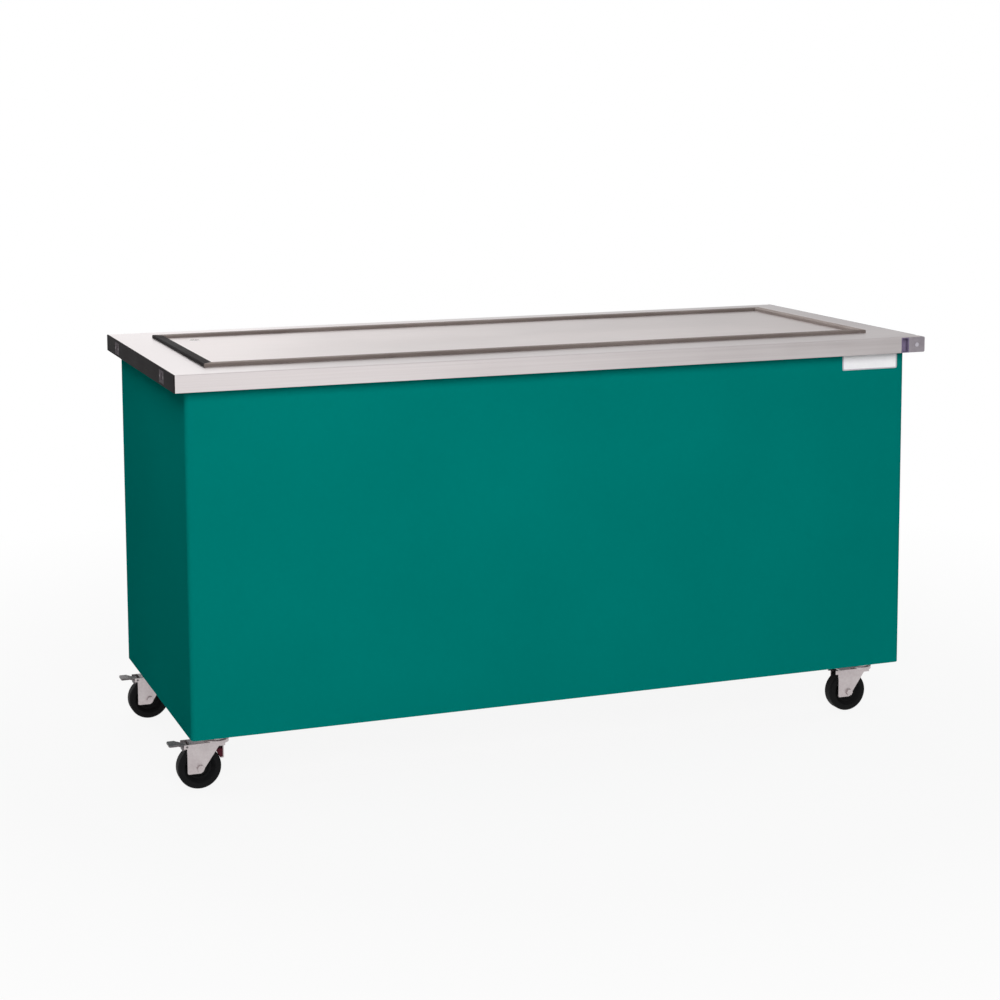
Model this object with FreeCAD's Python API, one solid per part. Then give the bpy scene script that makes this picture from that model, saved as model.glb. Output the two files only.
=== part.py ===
import FreeCAD, Part
import math
import os

# Frost top serving counter on casters. Millimetres, +Z up, origin on the floor under the middle.
# The customer side faces -Y, the operator side +Y.

V = FreeCAD.Vector

# Overall sizes
deck_length = 1778.0
deck_depth = 762.0
counter_height = 914.0
deck_edge = 38.0
deck_overhang = 28.0
sheet = 2.0
seat_gap = 0.3
running_gap = 0.08

# Deck and its end dressings
deck_bend = 2.5
deck_hem = 10.0
trim_thickness = 3.0
trim_edge_radius = 1.2
keeper_width = 50.0
keeper_margin = 5.0
keeper_spacing = 510.0
keeper_slot_width = 9.0
keeper_slot_margin = 6.0
lineup_width = 50.0
lineup_depth = 26.0
lineup_pocket_width = 20.0
lineup_pocket_depth = 12.0
lineup_pocket_wall = 2.5
lineup_block_setback = 1.2
lineup_button_radius = 5.0
lineup_reach = 10.0
lineup_end_radius = 3.0

# Frost plate, raised breaker strips and insulation
frost_margin_end = 88.0
frost_margin_side = 105.0
breaker_width = 22.0
breaker_height = 7.0
breaker_round = 2.0
breaker_leg = 8.0
breaker_depth = 22.0
flange_depth = 20.0
plate_step = 3.0
pan_depth = 80.0
pan_sheet = 1.5
pan_flange = 15.0
pan_room = 10.0
foam_room = 4.1
foam_well_gap = 1.0

# Evaporator tube
tube_radius = 4.75
coil_loops = 4
coil_side_margin = 51.0
coil_left_margin = 126.0
coil_right_margin = 86.0
coil_tail_margin = 46.0
coil_tail_drop = 6.0

# Drain
drain_margin = 68.0
drain_radius = 13.4
drain_bore = 10.5
drain_collar_radius = 20.0
drain_collar = 3.0
drain_drop = 14.0
strainer_bar = 3.0
valve_radius = 20.0
valve_height = 52.0
valve_collar_radius = 24.0
valve_collar_height = 11.4
outlet_length = 34.0
stem_radius = 5.0
stem_boss_radius = 9.0
stem_boss_reach = 12.0
lever_length = 92.0
lever_width = 18.0
lever_thickness = 3.0
lever_nut_radius = 8.0
lever_nut_height = 5.0

# Body shell
shell_wall = 4.0
shell_corner = 12.0
shell_lip = 16.0
shell_return = 30.0

# Base frame and inner panels
frame_height = 30.0
frame_flange = 40.0
frame_gauge = 3.0
frame_gap = 1.0
cross_member_spacing = 570.0
gusset_length = 140.0
gusset_depth = 130.0
post_size = 25.0
floor_upstand = 16.0
hose_hole_radius = 32.0
hose_hole_lip = 8.0
stile_width = 28.0
header_height = 110.0
header_flange = 25.0

# Louvred service door
door_gauge = 1.5
door_return = 18.0
door_hem = 16.0
door_side_gap = 6.0
door_edge_gap = 4.0
louvre_columns = 2
louvre_pitch = 34.0
louvre_height = 16.0
louvre_reach = 7.0
louvre_bow = 1.5
louvre_side_margin = 52.0
louvre_column_gap = 35.0
louvre_base = 80.0
louvre_top_margin = 190.0
hinge_height = 60.0
hinge_leaf = 26.0
hinge_gauge = 2.0
hinge_knuckle_radius = 4.0
hinge_pin_radius = 2.2
hinge_inset = 110.0
knuckle_gap = 0.4
pin_press_gap = 0.03
pull_height = 110.0
pull_reach = 24.0
pull_radius = 4.0
pull_bend = 10.0
pull_inset = 32.0
catch_height = 50.0
catch_width = 24.0
catch_depth = 18.0
catch_groove_width = 4.8
catch_groove_depth = 4.0

# Controls and cord inlet
control_inset = 331.0
control_width = 200.0
control_height = 60.0
control_gauge = 1.5
control_corner = 6.0
switch_offset = -55.0
switch_side = 4.0
switch_head = 2.0
switch_flange = 2.0
switch_bezel = 2.5
switch_body_depth = 20.0
rocker_width = 20.0
rocker_radius = 8.0
rocker_tilt = 8.0
rocker_room = 0.6
rocker_proud = 2.0
rocker_pivot_radius = 1.25
knob_offset = 45.0
knob_radius = 18.0
knob_height = 15.0
knob_skirt_top = 16.2
knob_skirt_height = 5.2
knob_grip_radius = 11.2
knob_pointer_width = 4.0
knob_pointer_reach = 15.5
knob_stem = 3.0
thermostat_size = 44.0
thermostat_depth = 28.0
gland_inset = 91.0
gland_bore = 5.5
gland_shank = 8.0
gland_nut = 12.0
gland_nut_height = 9.0
gland_dome_height = 9.0
gland_dome_radius = 10.0
gland_mouth_wall = 2.0
gland_tail = 12.0

# Condensing unit
unit_side = 30.0
unit_left_room = 61.0
unit_right_room = 65.0
unit_front_room = 14.0
unit_rear_room = 25.0
unit_height = 28.0
grommet_height = 12.0
grommet_radius = 11.0
grommet_flange = 4.8
grommet_waist = 8.2
foot_spread = 150.0
foot_plate = 4.0
compressor_room = 14.0
compressor_radius = 82.0
compressor_height = 190.0
compressor_foot_radius = 24.0
compressor_seam_height = 95.0
compressor_seam = 4.0
compressor_dome = 52.0
stub_radius = 7.0
stub_reach = 10.0
suction_rise = 126.0
discharge_rise = 82.0
terminal_width = 56.0
terminal_height = 48.0
terminal_rise = 42.0
terminal_reach = 22.0
coil_width = 340.0
coil_height = 300.0
coil_depth = 60.0
coil_rear_room = 4.0
coil_rows = 12
coil_row_pitch = 25.0
fin_pitch = 13.0
fin_gap = 6.0
fin_groove = 9.0
end_plate = 3.0
shroud_depth = 40.0
shroud_gauge = 2.0
orifice_margin = 26.0
orifice_lip = 16.0
fan_tip_gap = 8.0
fan_tip_bow = 8.0
fan_hub_radius = 24.0
fan_hub_length = 30.0
fan_blades = 5
fan_root_radius = 17.0
fan_root_chord = 25.6
fan_blade_thickness = 2.0
fan_chord = 64.0
fan_pitch = 28.0
fan_shaft_radius = 4.0
motor_radius = 40.0
motor_length = 62.0
motor_gap = 8.0
motor_bore_depth = 24.0
motor_round = 8.0
arm_width = 16.0
arm_gauge = 3.0
arm_count = 3
drier_radius = 14.0
drier_length = 110.0
drier_round = 8.0
drier_rise = 40.0
line_radius = 3.2
line_bend = 20.0
line_offset = 50.0
liquid_line_rise = 112.0

# Casters
caster_room_x = 6.0
caster_room_front = 20.0
caster_room_back = 40.0
wheel_radius = 47.5
wheel_width = 32.0
wheel_hub_radius = 14.0
wheel_rim_inner = 34.0
wheel_web = 16.0
wheel_web_flat = 4.3
wheel_head_room = 4.0
wheel_shoulder = 6.0
caster_trail = 40.0
caster_plate_length = 92.0
caster_plate_width = 64.0
caster_plate_corner = 7.0
caster_plate_thickness = 4.0
caster_bolt_pitch_x = 72.0
caster_bolt_pitch_y = 44.0
caster_bolt_radius = 4.0
race_radius = 21.0
race_height = 18.3
race_cup_radius = 29.0
race_cup_height = 9.0
crown_radius = 27.0
crown_height = 6.4
crown_plate = 3.0
kingpin_radius = 6.0
kingpin_head_radius = 9.5
kingpin_head_height = 2.7
fork_gauge = 2.5
fork_ear_lead = 35.0
fork_lead = 28.0
fork_foot_drop = 11.0
fork_toe = 2.0
fork_corner = 4.0
fork_knee = 1.0
fork_band = 9.0
fork_web_lead = 22.0
fork_web_reach = 15.0
axle_radius = 5.0
axle_head_radius = 8.0
axle_head_height = 5.5
hub_side_gap = 2.0
pedal_pivot_lead = 28.0
pedal_pin_radius = 2.5
pedal_heel = 2.0
pedal_flat = 8.0
pedal_rise = 4.0
pedal_reach = 38.0
pedal_side_gap = 4.0
pedal_pad_width = 34.0
pedal_pad_length = 18.0
pedal_thickness = 4.0
pedal_shoe_set = 2.0
pedal_shoe_length = 6.0
pedal_shoe_width = 21.0
pedal_shoe_gap = 2.4

# Levels and faces shared by the pieces
half_length = deck_length / 2
half_depth = deck_depth / 2
deck_top = counter_height
deck_under = deck_top - sheet
deck_foot = deck_top - deck_edge
deck_end = half_length - trim_thickness
keeper_height = deck_edge - 2 * keeper_margin
keeper_slot_height = keeper_height - 2 * keeper_slot_margin
body_x = half_length - deck_overhang
body_y = half_depth - deck_overhang
inner_x = body_x - shell_wall
inner_y = body_y - shell_wall
frame_x = inner_x - frame_gap
frame_y = inner_y - frame_gap
return_x = body_x - shell_return
crown_under = 2 * wheel_radius + wheel_head_room
crown_top = crown_under + crown_height
race_under = crown_top + seat_gap
plate_under = race_under + race_height
frame_bottom = plate_under + caster_plate_thickness
frame_top = frame_bottom + frame_height
floor_top = frame_top + sheet
body_bottom = frame_bottom - shell_wall
breaker_x = half_length - frost_margin_end - breaker_width / 2
breaker_y = half_depth - frost_margin_side - breaker_width / 2
plate_edge_x = breaker_x - breaker_leg / 2
plate_edge_y = breaker_y - breaker_leg / 2
pan_x = breaker_x + breaker_leg / 2 + pan_room
pan_y = breaker_y + breaker_leg / 2 + pan_room
pan_bottom = deck_under - pan_depth
header_bottom = deck_under - header_height
coil_passes = 2 * coil_loops
coil_pitch = 2 * (plate_edge_y - coil_side_margin) / (coil_passes - 1)
coil_left_end = coil_left_margin - plate_edge_x
coil_right_end = plate_edge_x - coil_right_margin
coil_tail_x = plate_edge_x - coil_tail_margin
coil_tail_bottom = pan_bottom - coil_tail_drop
drain_x = drain_margin - plate_edge_x
drain_y = plate_edge_y - drain_margin
unit_width = coil_width + 2 * unit_side
unit_x = inner_x - unit_right_room - unit_width / 2
partition_x = unit_x - unit_width / 2 - unit_left_room - sheet / 2
stile_left = partition_x - stile_width / 2
stile_right = partition_x + stile_width / 2
door_left = stile_right + door_edge_gap / 2
door_right = return_x - door_side_gap
door_bottom = floor_top + door_edge_gap
door_top = header_bottom - door_edge_gap
louvre_field = door_right - door_left - 2 * louvre_side_margin
louvre_length = (louvre_field - (louvre_columns - 1) * louvre_column_gap) / louvre_columns
louvre_rise = door_top - door_bottom - louvre_base - louvre_height - louvre_top_margin
louvre_rows = 1 + int(louvre_rise / louvre_pitch)
control_x = body_x - control_inset
control_z = (header_bottom + deck_foot) / 2
gland_x = body_x - gland_inset


def box(x0, x1, y0, y1, z0, z1):
    return Part.makeBox(x1 - x0, y1 - y0, z1 - z0, V(x0, y0, z0))


def block(half_x, half_y, z0, z1):
    return box(-half_x, half_x, -half_y, half_y, z0, z1)


def rod(start, direction, length, radius):
    return Part.makeCylinder(radius, length, V(*start), V(*direction))


def prism(points, travel):
    corners = [V(*point) for point in points]
    return Part.Face(Part.makePolygon(corners + corners[:1])).extrude(V(*travel))


def hexagon(centre, direction, radius, height):
    axis = V(*direction)
    side = V(1, 0, 0) if abs(axis.x) < 0.5 else V(0, 1, 0)
    other = axis.cross(side)
    middle = V(*centre)
    corners = []
    for turn in range(6):
        angle = math.radians(60 * turn)
        corners.append(middle + side * (radius * math.cos(angle)) + other * (radius * math.sin(angle)))
    return Part.Face(Part.makePolygon(corners + corners[:1])).extrude(axis * height)


def fuse(first, *rest):
    return first.fuse(list(rest)).removeSplitter()


def cut(shape, *tools):
    return shape.cut(list(tools)).removeSplitter()


def bent_wire(points, radius):
    corners = [V(*point) for point in points]
    edges = []
    start = corners[0]
    for before, corner, after in zip(corners, corners[1:], corners[2:]):
        heading = (corner - before).normalize()
        leaving = (after - corner).normalize()
        turn = heading.getAngle(leaving)
        setback = radius * math.tan(turn / 2)
        first = corner - heading * setback
        last = corner + leaving * setback
        inward = (leaving - heading).normalize()
        middle = corner + inward * (radius / math.cos(turn / 2) - radius)
        if (first - start).Length > 0.001:
            edges.append(Part.LineSegment(start, first).toShape())
        edges.append(Part.Arc(first, middle, last).toShape())
        start = last
    edges.append(Part.LineSegment(start, corners[-1]).toShape())
    return Part.Wire(edges)


def pipe(points, bend, radius):
    heading = V(*points[1]) - V(*points[0])
    section = Part.Wire(Part.makeCircle(radius, V(*points[0]), heading))
    return bent_wire(points, bend).makePipeShell([section], True, False)


def edges_along(shape, axis, test):
    chosen = []
    for edge in shape.Edges:
        if edge.Curve.TypeId != "Part::GeomLine":
            continue
        first, last = edge.Vertexes[0].Point, edge.Vertexes[-1].Point
        if abs(abs((last - first).normalize().dot(V(*axis))) - 1) < 1e-6 and test(edge.CenterOfMass):
            chosen.append(edge)
    return chosen


def group(*solids):
    return Part.makeCompound(list(solids))


def save(name, shape):
    shape.exportStep("parts/" + name + ".step")


# Stainless deck: folded rim, hem, and a turned-down flange round the frost plate
def counter_deck():
    skin = block(deck_end, half_depth, deck_foot, deck_top)
    bends = edges_along(skin, (1, 0, 0), lambda c: c.z > deck_top - sheet)
    skin = skin.makeFillet(deck_bend, bends)
    hollow = block(deck_end - sheet, half_depth - sheet, deck_foot, deck_under)
    hem = block(deck_end - sheet, half_depth - sheet, deck_foot, deck_foot + sheet)
    hem = cut(hem, block(deck_end - sheet - deck_hem, half_depth - sheet - deck_hem,
                         deck_foot, deck_foot + sheet))
    mouth_x = breaker_x + breaker_leg / 2
    mouth_y = breaker_y + breaker_leg / 2
    flange_foot = deck_top - flange_depth
    flange = block(mouth_x + sheet, mouth_y + sheet, flange_foot, deck_top)
    mouth = block(mouth_x, mouth_y, flange_foot, deck_top)
    notch = lineup_room(deck_end - lineup_width, deck_end, deck_under)
    folded = cut(skin, hollow)
    return cut(fuse(folded, hem, flange), mouth, notch)


# Black strip that closes each end of the deck, with pockets for the keepers on the left
# and a gap for the line-up block on the right
def end_trim(side, pockets):
    inner = side * deck_end
    outer = side * half_length
    strip = box(min(inner, outer), max(inner, outer), -half_depth, half_depth, deck_foot, deck_top)
    face = edges_along(strip, (0, 1, 0), lambda c: abs(c.x) > half_length - seat_gap)
    strip = strip.makeFillet(trim_edge_radius, face)
    return cut(strip, *pockets)


def keeper(y, room):
    half_width = keeper_width / 2 + room
    half_height = keeper_height / 2 + room
    middle = (deck_foot + deck_top) / 2
    return box(-half_length, -deck_end, y - half_width, y + half_width,
               middle - half_height, middle + half_height)


def keeper_plate(y):
    middle = (deck_foot + deck_top) / 2
    face = -half_length + seat_gap
    room = box(face, -deck_end, y - keeper_width, y + keeper_width, deck_foot, deck_top)
    plate = keeper(y, 0).common(room)
    slot = box(face, -deck_end, y - keeper_slot_width / 2, y + keeper_slot_width / 2,
               middle - keeper_slot_height / 2, middle + keeper_slot_height / 2)
    return cut(plate, slot)


# Line-up pocket and block let into the right end of the front rim; the block reaches past the end
def lineup_room(left, right, top):
    return box(left, right, -half_depth, -half_depth + lineup_depth + seat_gap, deck_foot, top)


def lineup_left():
    return deck_end - lineup_width + seat_gap


def lineup_pocket():
    left = lineup_left()
    right = left + lineup_pocket_width
    body = box(left, right, -half_depth, -half_depth + lineup_depth, deck_foot, deck_under)
    wall = lineup_pocket_wall
    recess = box(left + wall, right - wall, -half_depth, -half_depth + lineup_pocket_depth,
                 deck_foot + wall, deck_under - wall)
    return cut(body, recess)


def lineup_block():
    left = lineup_left() + lineup_pocket_width
    right = half_length + lineup_reach
    face = -half_depth + lineup_block_setback
    body = box(left, right, face, -half_depth + lineup_depth, deck_foot, deck_under)
    body = body.makeFillet(lineup_end_radius, edges_along(body, (0, 1, 0), lambda c: c.x > half_length))
    middle = ((left + right) / 2, -half_depth, (deck_foot + deck_under) / 2)
    button = rod(middle, (0, 1, 0), lineup_depth / 2, lineup_button_radius)
    return fuse(body, button)


# Breaker strip: a rounded cap that straddles the joint, with a leg between the two flanges
def breaker_profile():
    outer = breaker_width / 2
    leg = breaker_leg / 2 - seat_gap
    top = deck_top + breaker_height
    arc = breaker_round
    lean = arc * (1 - math.sqrt(0.5))
    plate_rest = deck_top - plate_step
    corners = [V(0, outer, deck_top), V(0, outer, top - arc), V(0, outer - arc, top),
               V(0, arc - outer, top), V(0, -outer, top - arc), V(0, -outer, plate_rest),
               V(0, -leg, plate_rest), V(0, -leg, deck_top - breaker_depth),
               V(0, leg, deck_top - breaker_depth), V(0, leg, deck_top)]
    edges = []
    for index, start in enumerate(corners):
        end = corners[(index + 1) % len(corners)]
        if index == 1:
            edges.append(Part.Arc(start, V(0, outer - lean, top - lean), end).toShape())
        elif index == 3:
            edges.append(Part.Arc(start, V(0, lean - outer, top - lean), end).toShape())
        else:
            edges.append(Part.LineSegment(start, end).toShape())
    return Part.Face(Part.Wire(edges))


def breaker_strip(along, across, turn):
    reach = breaker_width / 2
    strip = breaker_profile()
    strip.translate(V(-along - reach, across, 0))
    strip = strip.extrude(V(2 * (along + reach), 0, 0))
    low = deck_top - breaker_depth
    mitre = prism([(-along - reach, across + reach, low), (along + reach, across + reach, low),
                   (along - reach, across - reach, low), (reach - along, across - reach, low)],
                  (0, 0, breaker_depth + breaker_height))
    strip = strip.common(mitre)
    strip.rotate(V(0, 0, 0), V(0, 0, 1), turn)
    return strip


# Frost plate: flat top, joggled border under the strips, turned-down edge
def frost_plate():
    top_x = breaker_x - breaker_width / 2 - seat_gap
    top_y = breaker_y - breaker_width / 2 - seat_gap
    border = deck_top - plate_step
    foot = deck_top - flange_depth
    outside = fuse(block(plate_edge_x, plate_edge_y, foot, border), block(top_x, top_y, border, deck_top))
    inside = fuse(block(plate_edge_x - sheet, plate_edge_y - sheet, foot, border - sheet),
                  block(top_x - sheet, top_y - sheet, foot, deck_under))
    hole = rod((drain_x, drain_y, foot), (0, 0, 1), flange_depth, drain_radius + seat_gap)
    return cut(outside, inside, hole)


def coil_axis_z():
    return deck_under - seat_gap - tube_radius


def coil_row(index):
    return (index - (coil_passes - 1) / 2) * coil_pitch


def evaporator_coil():
    level = coil_axis_z()
    points = [(coil_tail_x, coil_row(0), coil_tail_bottom), (coil_tail_x, coil_row(0), level)]
    for index in range(coil_passes - 1):
        turn_x = coil_left_end if index % 2 == 0 else coil_right_end
        points.append((turn_x, coil_row(index), level))
        points.append((turn_x, coil_row(index + 1), level))
    last = coil_row(coil_passes - 1)
    points.append((coil_tail_x, last, level))
    points.append((coil_tail_x, last, coil_tail_bottom))
    return pipe(points, coil_pitch / 2, tube_radius)


# Holes that the coil tails and the drain need through the foam and the pan
def riser_holes(room):
    length = deck_top - coil_tail_bottom
    holes = []
    for y in (coil_row(0), coil_row(coil_passes - 1)):
        holes.append(rod((coil_tail_x, y, coil_tail_bottom), (0, 0, 1), length, tube_radius + room))
    return holes


def foam_slab():
    top = coil_axis_z() - tube_radius - seat_gap
    ledge = deck_top - max(flange_depth, breaker_depth) - foam_room
    bottom = pan_bottom + pan_sheet
    wide = block(pan_x - pan_sheet - seat_gap, pan_y - pan_sheet - seat_gap, bottom, ledge)
    edge = breaker_leg / 2 + sheet + seat_gap
    narrow = block(breaker_x - edge, breaker_y - edge, ledge, top)
    well = rod((drain_x, drain_y, bottom), (0, 0, 1), top - bottom, drain_collar_radius + foam_well_gap)
    return cut(fuse(wide, narrow), well, *riser_holes(coil_pitch / 2 + tube_radius))


def insulation_pan():
    outside = fuse(block(pan_x, pan_y, pan_bottom, deck_under),
                   block(pan_x + pan_flange, pan_y + pan_flange, deck_under - pan_sheet, deck_under))
    inside = block(pan_x - pan_sheet, pan_y - pan_sheet, pan_bottom + pan_sheet, deck_under)
    drain_hole = rod((drain_x, drain_y, pan_bottom), (0, 0, 1), pan_sheet, drain_radius + seat_gap)
    return cut(outside, inside, drain_hole, *riser_holes(seat_gap))


# Drain: tailpiece with a cross strainer, ball valve and quarter-turn lever
def valve_top():
    return pan_bottom - drain_drop


def drain_pipe():
    bottom = valve_top()
    length = deck_top - bottom
    tube = rod((drain_x, drain_y, bottom), (0, 0, 1), length, drain_radius)
    collar = rod((drain_x, drain_y, deck_under - drain_collar), (0, 0, 1), drain_collar,
                 drain_collar_radius)
    bore = rod((drain_x, drain_y, bottom), (0, 0, 1), length, drain_bore)
    half = strainer_bar / 2
    z0 = deck_top - 2 * strainer_bar
    z1 = deck_top - strainer_bar
    reach = (drain_bore + drain_radius) / 2
    bars = [box(drain_x - reach, drain_x + reach, drain_y - half, drain_y + half, z0, z1),
            box(drain_x - half, drain_x + half, drain_y - reach, drain_y + reach, z0, z1)]
    return fuse(cut(fuse(tube, collar), bore), *bars)


def valve_axis():
    return valve_top() - valve_height / 2


def drain_valve_body():
    top = valve_top()
    low = top - valve_height
    body = rod((drain_x, drain_y, low), (0, 0, 1), valve_height, valve_radius)
    collars = []
    for z in (low, top - valve_collar_height):
        collars.append(hexagon((drain_x, drain_y, z), (0, 0, 1), valve_collar_radius, valve_collar_height))
    outlet = rod((drain_x, drain_y, low - outlet_length), (0, 0, 1), outlet_length, drain_radius)
    boss = rod((drain_x, drain_y, valve_axis()), (0, 1, 0), valve_radius + stem_boss_reach,
               stem_boss_radius)
    bore = rod((drain_x, drain_y, low - outlet_length), (0, 0, 1), valve_height + outlet_length,
               drain_bore)
    stem_hole = rod((drain_x, drain_y + valve_radius, valve_axis()), (0, 1, 0), stem_boss_reach,
                    stem_radius + running_gap)
    return cut(fuse(body, outlet, boss, *collars), bore, stem_hole)


def drain_lever():
    z = valve_axis()
    start = drain_y + valve_radius + 2 * seat_gap
    face = drain_y + valve_radius + stem_boss_reach + seat_gap
    stem = rod((drain_x, start, z), (0, 1, 0), face - start + lever_thickness, stem_radius)
    bar = box(drain_x, drain_x + lever_length, face, face + lever_thickness,
              z - lever_width / 2, z + lever_width / 2)
    eye = rod((drain_x, face, z), (0, 1, 0), lever_thickness, lever_width / 2)
    tip = rod((drain_x + lever_length, face, z), (0, 1, 0), lever_thickness, lever_width / 2)
    nut = hexagon((drain_x, face + lever_thickness, z), (0, 1, 0), lever_nut_radius,
                  lever_nut_height)
    return fuse(bar, eye, tip, stem, nut)


# One-piece moulded body: front and both ends, soft corners, inward lip and rear returns
def shell_outline(inset):
    x = body_x - inset
    front = -body_y + inset
    back = body_y
    radius = shell_corner - inset
    swing = radius * math.sqrt(0.5)
    edges = [Part.LineSegment(V(-x, back, 0), V(-x, front + radius, 0)).toShape(),
             Part.Arc(V(-x, front + radius, 0), V(-x + radius - swing, front + radius - swing, 0),
                      V(-x + radius, front, 0)).toShape(),
             Part.LineSegment(V(-x + radius, front, 0), V(x - radius, front, 0)).toShape(),
             Part.Arc(V(x - radius, front, 0), V(x - radius + swing, front + radius - swing, 0),
                      V(x, front + radius, 0)).toShape(),
             Part.LineSegment(V(x, front + radius, 0), V(x, back, 0)).toShape(),
             Part.LineSegment(V(x, back, 0), V(-x, back, 0)).toShape()]
    return Part.Face(Part.Wire(edges))


def body_shell():
    height = deck_under - body_bottom
    outside = shell_outline(0)
    outside.translate(V(0, 0, body_bottom))
    outside = outside.extrude(V(0, 0, height))
    inside = shell_outline(shell_wall)
    inside.translate(V(0, 0, body_bottom))
    lip_hole = box(-body_x + shell_lip, body_x - shell_lip, -body_y + shell_lip, body_y,
                   body_bottom, body_bottom + shell_wall)
    room = inside.extrude(V(0, 0, height))
    room = room.common(box(-body_x, body_x, -body_y, body_y, body_bottom + shell_wall, deck_under))
    returns = []
    for side in (-1, 1):
        outer = side * (body_x - shell_wall / 2)
        returns.append(box(min(outer, side * return_x), max(outer, side * return_x),
                           inner_y, body_y, body_bottom, deck_under))
    return fuse(cut(outside, room, lip_hole), *returns)


# What stands inside the shell's two front corners is rounded to follow them
def ease_front_corners(shape):
    radius = shell_corner - shell_wall - frame_gap
    corners = edges_along(shape, (0, 0, 1),
                          lambda c: abs(c.x) > frame_x - seat_gap and c.y < seat_gap - frame_y)
    return shape.makeFillet(radius, corners)


# Folded base frame: channel round the edge, two cross members and a gusset at each caster
def base_frame():
    rim = ease_front_corners(block(frame_x, frame_y, frame_bottom, frame_top))
    opening = block(frame_x - frame_flange, frame_y - frame_flange, frame_bottom, frame_top)
    groove = block(frame_x - frame_gauge, frame_y - frame_gauge,
                   frame_bottom + frame_gauge, frame_top - frame_gauge)
    pieces = []
    reach = frame_y - frame_gauge
    half = frame_flange / 2
    for x in (-cross_member_spacing / 2, cross_member_spacing / 2):
        bar = box(x - half, x + half, -reach, reach, frame_bottom + frame_gauge, frame_top - frame_gauge)
        hollow = box(x - half + frame_gauge, x + half - frame_gauge, -reach, reach,
                     frame_bottom + frame_gauge, frame_top - 2 * frame_gauge)
        pieces.append(cut(bar, hollow))
    for name, x, y in caster_places():
        far_x = math.copysign(frame_x - frame_gauge, x)
        far_y = math.copysign(frame_y - frame_gauge, y)
        near_x = math.copysign(frame_x - gusset_length, x)
        near_y = math.copysign(frame_y - gusset_depth, y)
        pieces.append(box(min(near_x, far_x), max(near_x, far_x), min(near_y, far_y), max(near_y, far_y),
                          frame_bottom, frame_bottom + frame_gauge))
    frame = fuse(cut(rim, opening, groove), *pieces)
    holes = []
    for x, y in bolt_places():
        holes.append(rod((x, y, frame_bottom), (0, 0, 1), frame_gauge, caster_bolt_radius + running_gap))
    return cut(frame, *holes)


def corner_posts():
    posts = []
    for x in (-frame_x, frame_x - post_size):
        for y in (-frame_y, frame_y - post_size):
            post = box(x, x + post_size, y, y + post_size, floor_top, deck_under)
            posts.append(ease_front_corners(post) if y < 0 else post)
    return group(*posts)


# Storage floor with an upstand along the front and the left end, and a hole for the drain hose
def storage_floor():
    sheet_floor = ease_front_corners(block(frame_x, frame_y, frame_top, floor_top))
    rise = floor_top + floor_upstand
    clear = frame_x - post_size - frame_gap
    clear_y = frame_y - post_size - frame_gap
    front = box(-clear, partition_x - sheet, -frame_y, -frame_y + sheet, frame_top, rise)
    left = box(-frame_x, -frame_x + sheet, -clear_y, clear_y, frame_top, rise)
    lip_foot = (drain_x, drain_y, frame_top - hose_hole_lip)
    lip_height = hose_hole_lip + sheet
    lip = rod(lip_foot, (0, 0, 1), lip_height, hose_hole_radius + sheet)
    hose_hole = rod(lip_foot, (0, 0, 1), lip_height, hose_hole_radius)
    return cut(fuse(sheet_floor, front, left, lip), hose_hole)


# Wall between the storage bay and the machine bay, with a stile towards the operator
def partition():
    half = sheet / 2
    wall = box(partition_x - half, partition_x + half, -frame_y, body_y, floor_top, pan_bottom)
    stile = box(stile_left, stile_right, body_y - sheet, body_y, floor_top, header_bottom)
    head = box(partition_x - half, partition_x + half, body_y - header_flange, body_y,
               header_bottom, deck_under)
    return cut(fuse(wall, stile), head)


# Opening for the switch, the same in the header and in the control plate
def switch_window(y0, y1):
    x = control_x + switch_offset
    half = rocker_width / 2 + switch_side
    high = rocker_radius + switch_head
    return box(x - half, x + half, y0, y1, control_z - high, control_z + high)


def rear_header():
    end = return_x - seat_gap
    back = body_y - sheet
    face = box(-end, end, back, body_y, header_bottom, deck_under)
    foot = box(-end, end, body_y - header_flange, body_y, header_bottom, header_bottom + sheet)
    head = box(-end, end, body_y - header_flange, body_y, deck_under - sheet, deck_under)
    window = switch_window(back, body_y)
    stem_hole = rod((control_x + knob_offset, back, control_z), (0, 1, 0), sheet, knob_stem + seat_gap)
    gland_hole = rod((gland_x, back, control_z), (0, 1, 0), sheet, gland_shank + seat_gap)
    return cut(fuse(face, foot, head), window, stem_hole, gland_hole)


# Service door: folded pan with pressed louvres
def louvre_hood(x, z):
    outer = louvre_section(0)
    inner = louvre_section(door_gauge)
    hood = Part.Face(outer).extrude(V(louvre_length, 0, 0))
    hollow = Part.Face(inner).extrude(V(louvre_length - 2 * door_gauge, 0, 0))
    hollow.translate(V(door_gauge, 0, 0))
    hood = hood.cut(hollow)
    hood.translate(V(x - louvre_length / 2, body_y, z))
    return hood


def louvre_section(wall):
    high = louvre_height - wall
    out = louvre_reach - wall
    chord = math.hypot(out, high)
    middle = V(0, out / 2 + louvre_bow * high / chord, high / 2 + louvre_bow * out / chord)
    arc = Part.Arc(V(0, 0, high), middle, V(0, out, 0)).toShape()
    foot = Part.LineSegment(V(0, out, 0), V(0, -door_gauge, 0)).toShape()
    back = Part.LineSegment(V(0, -door_gauge, 0), V(0, -door_gauge, high)).toShape()
    head = Part.LineSegment(V(0, -door_gauge, high), V(0, 0, high)).toShape()
    return Part.Wire([arc, foot, back, head])


def louvre_places():
    middle = (door_left + door_right) / 2
    places = []
    for column in range(louvre_columns):
        x = middle + (column - (louvre_columns - 1) / 2) * (louvre_length + louvre_column_gap)
        for row in range(louvre_rows):
            places.append((x, door_bottom + louvre_base + row * louvre_pitch))
    return places


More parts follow.
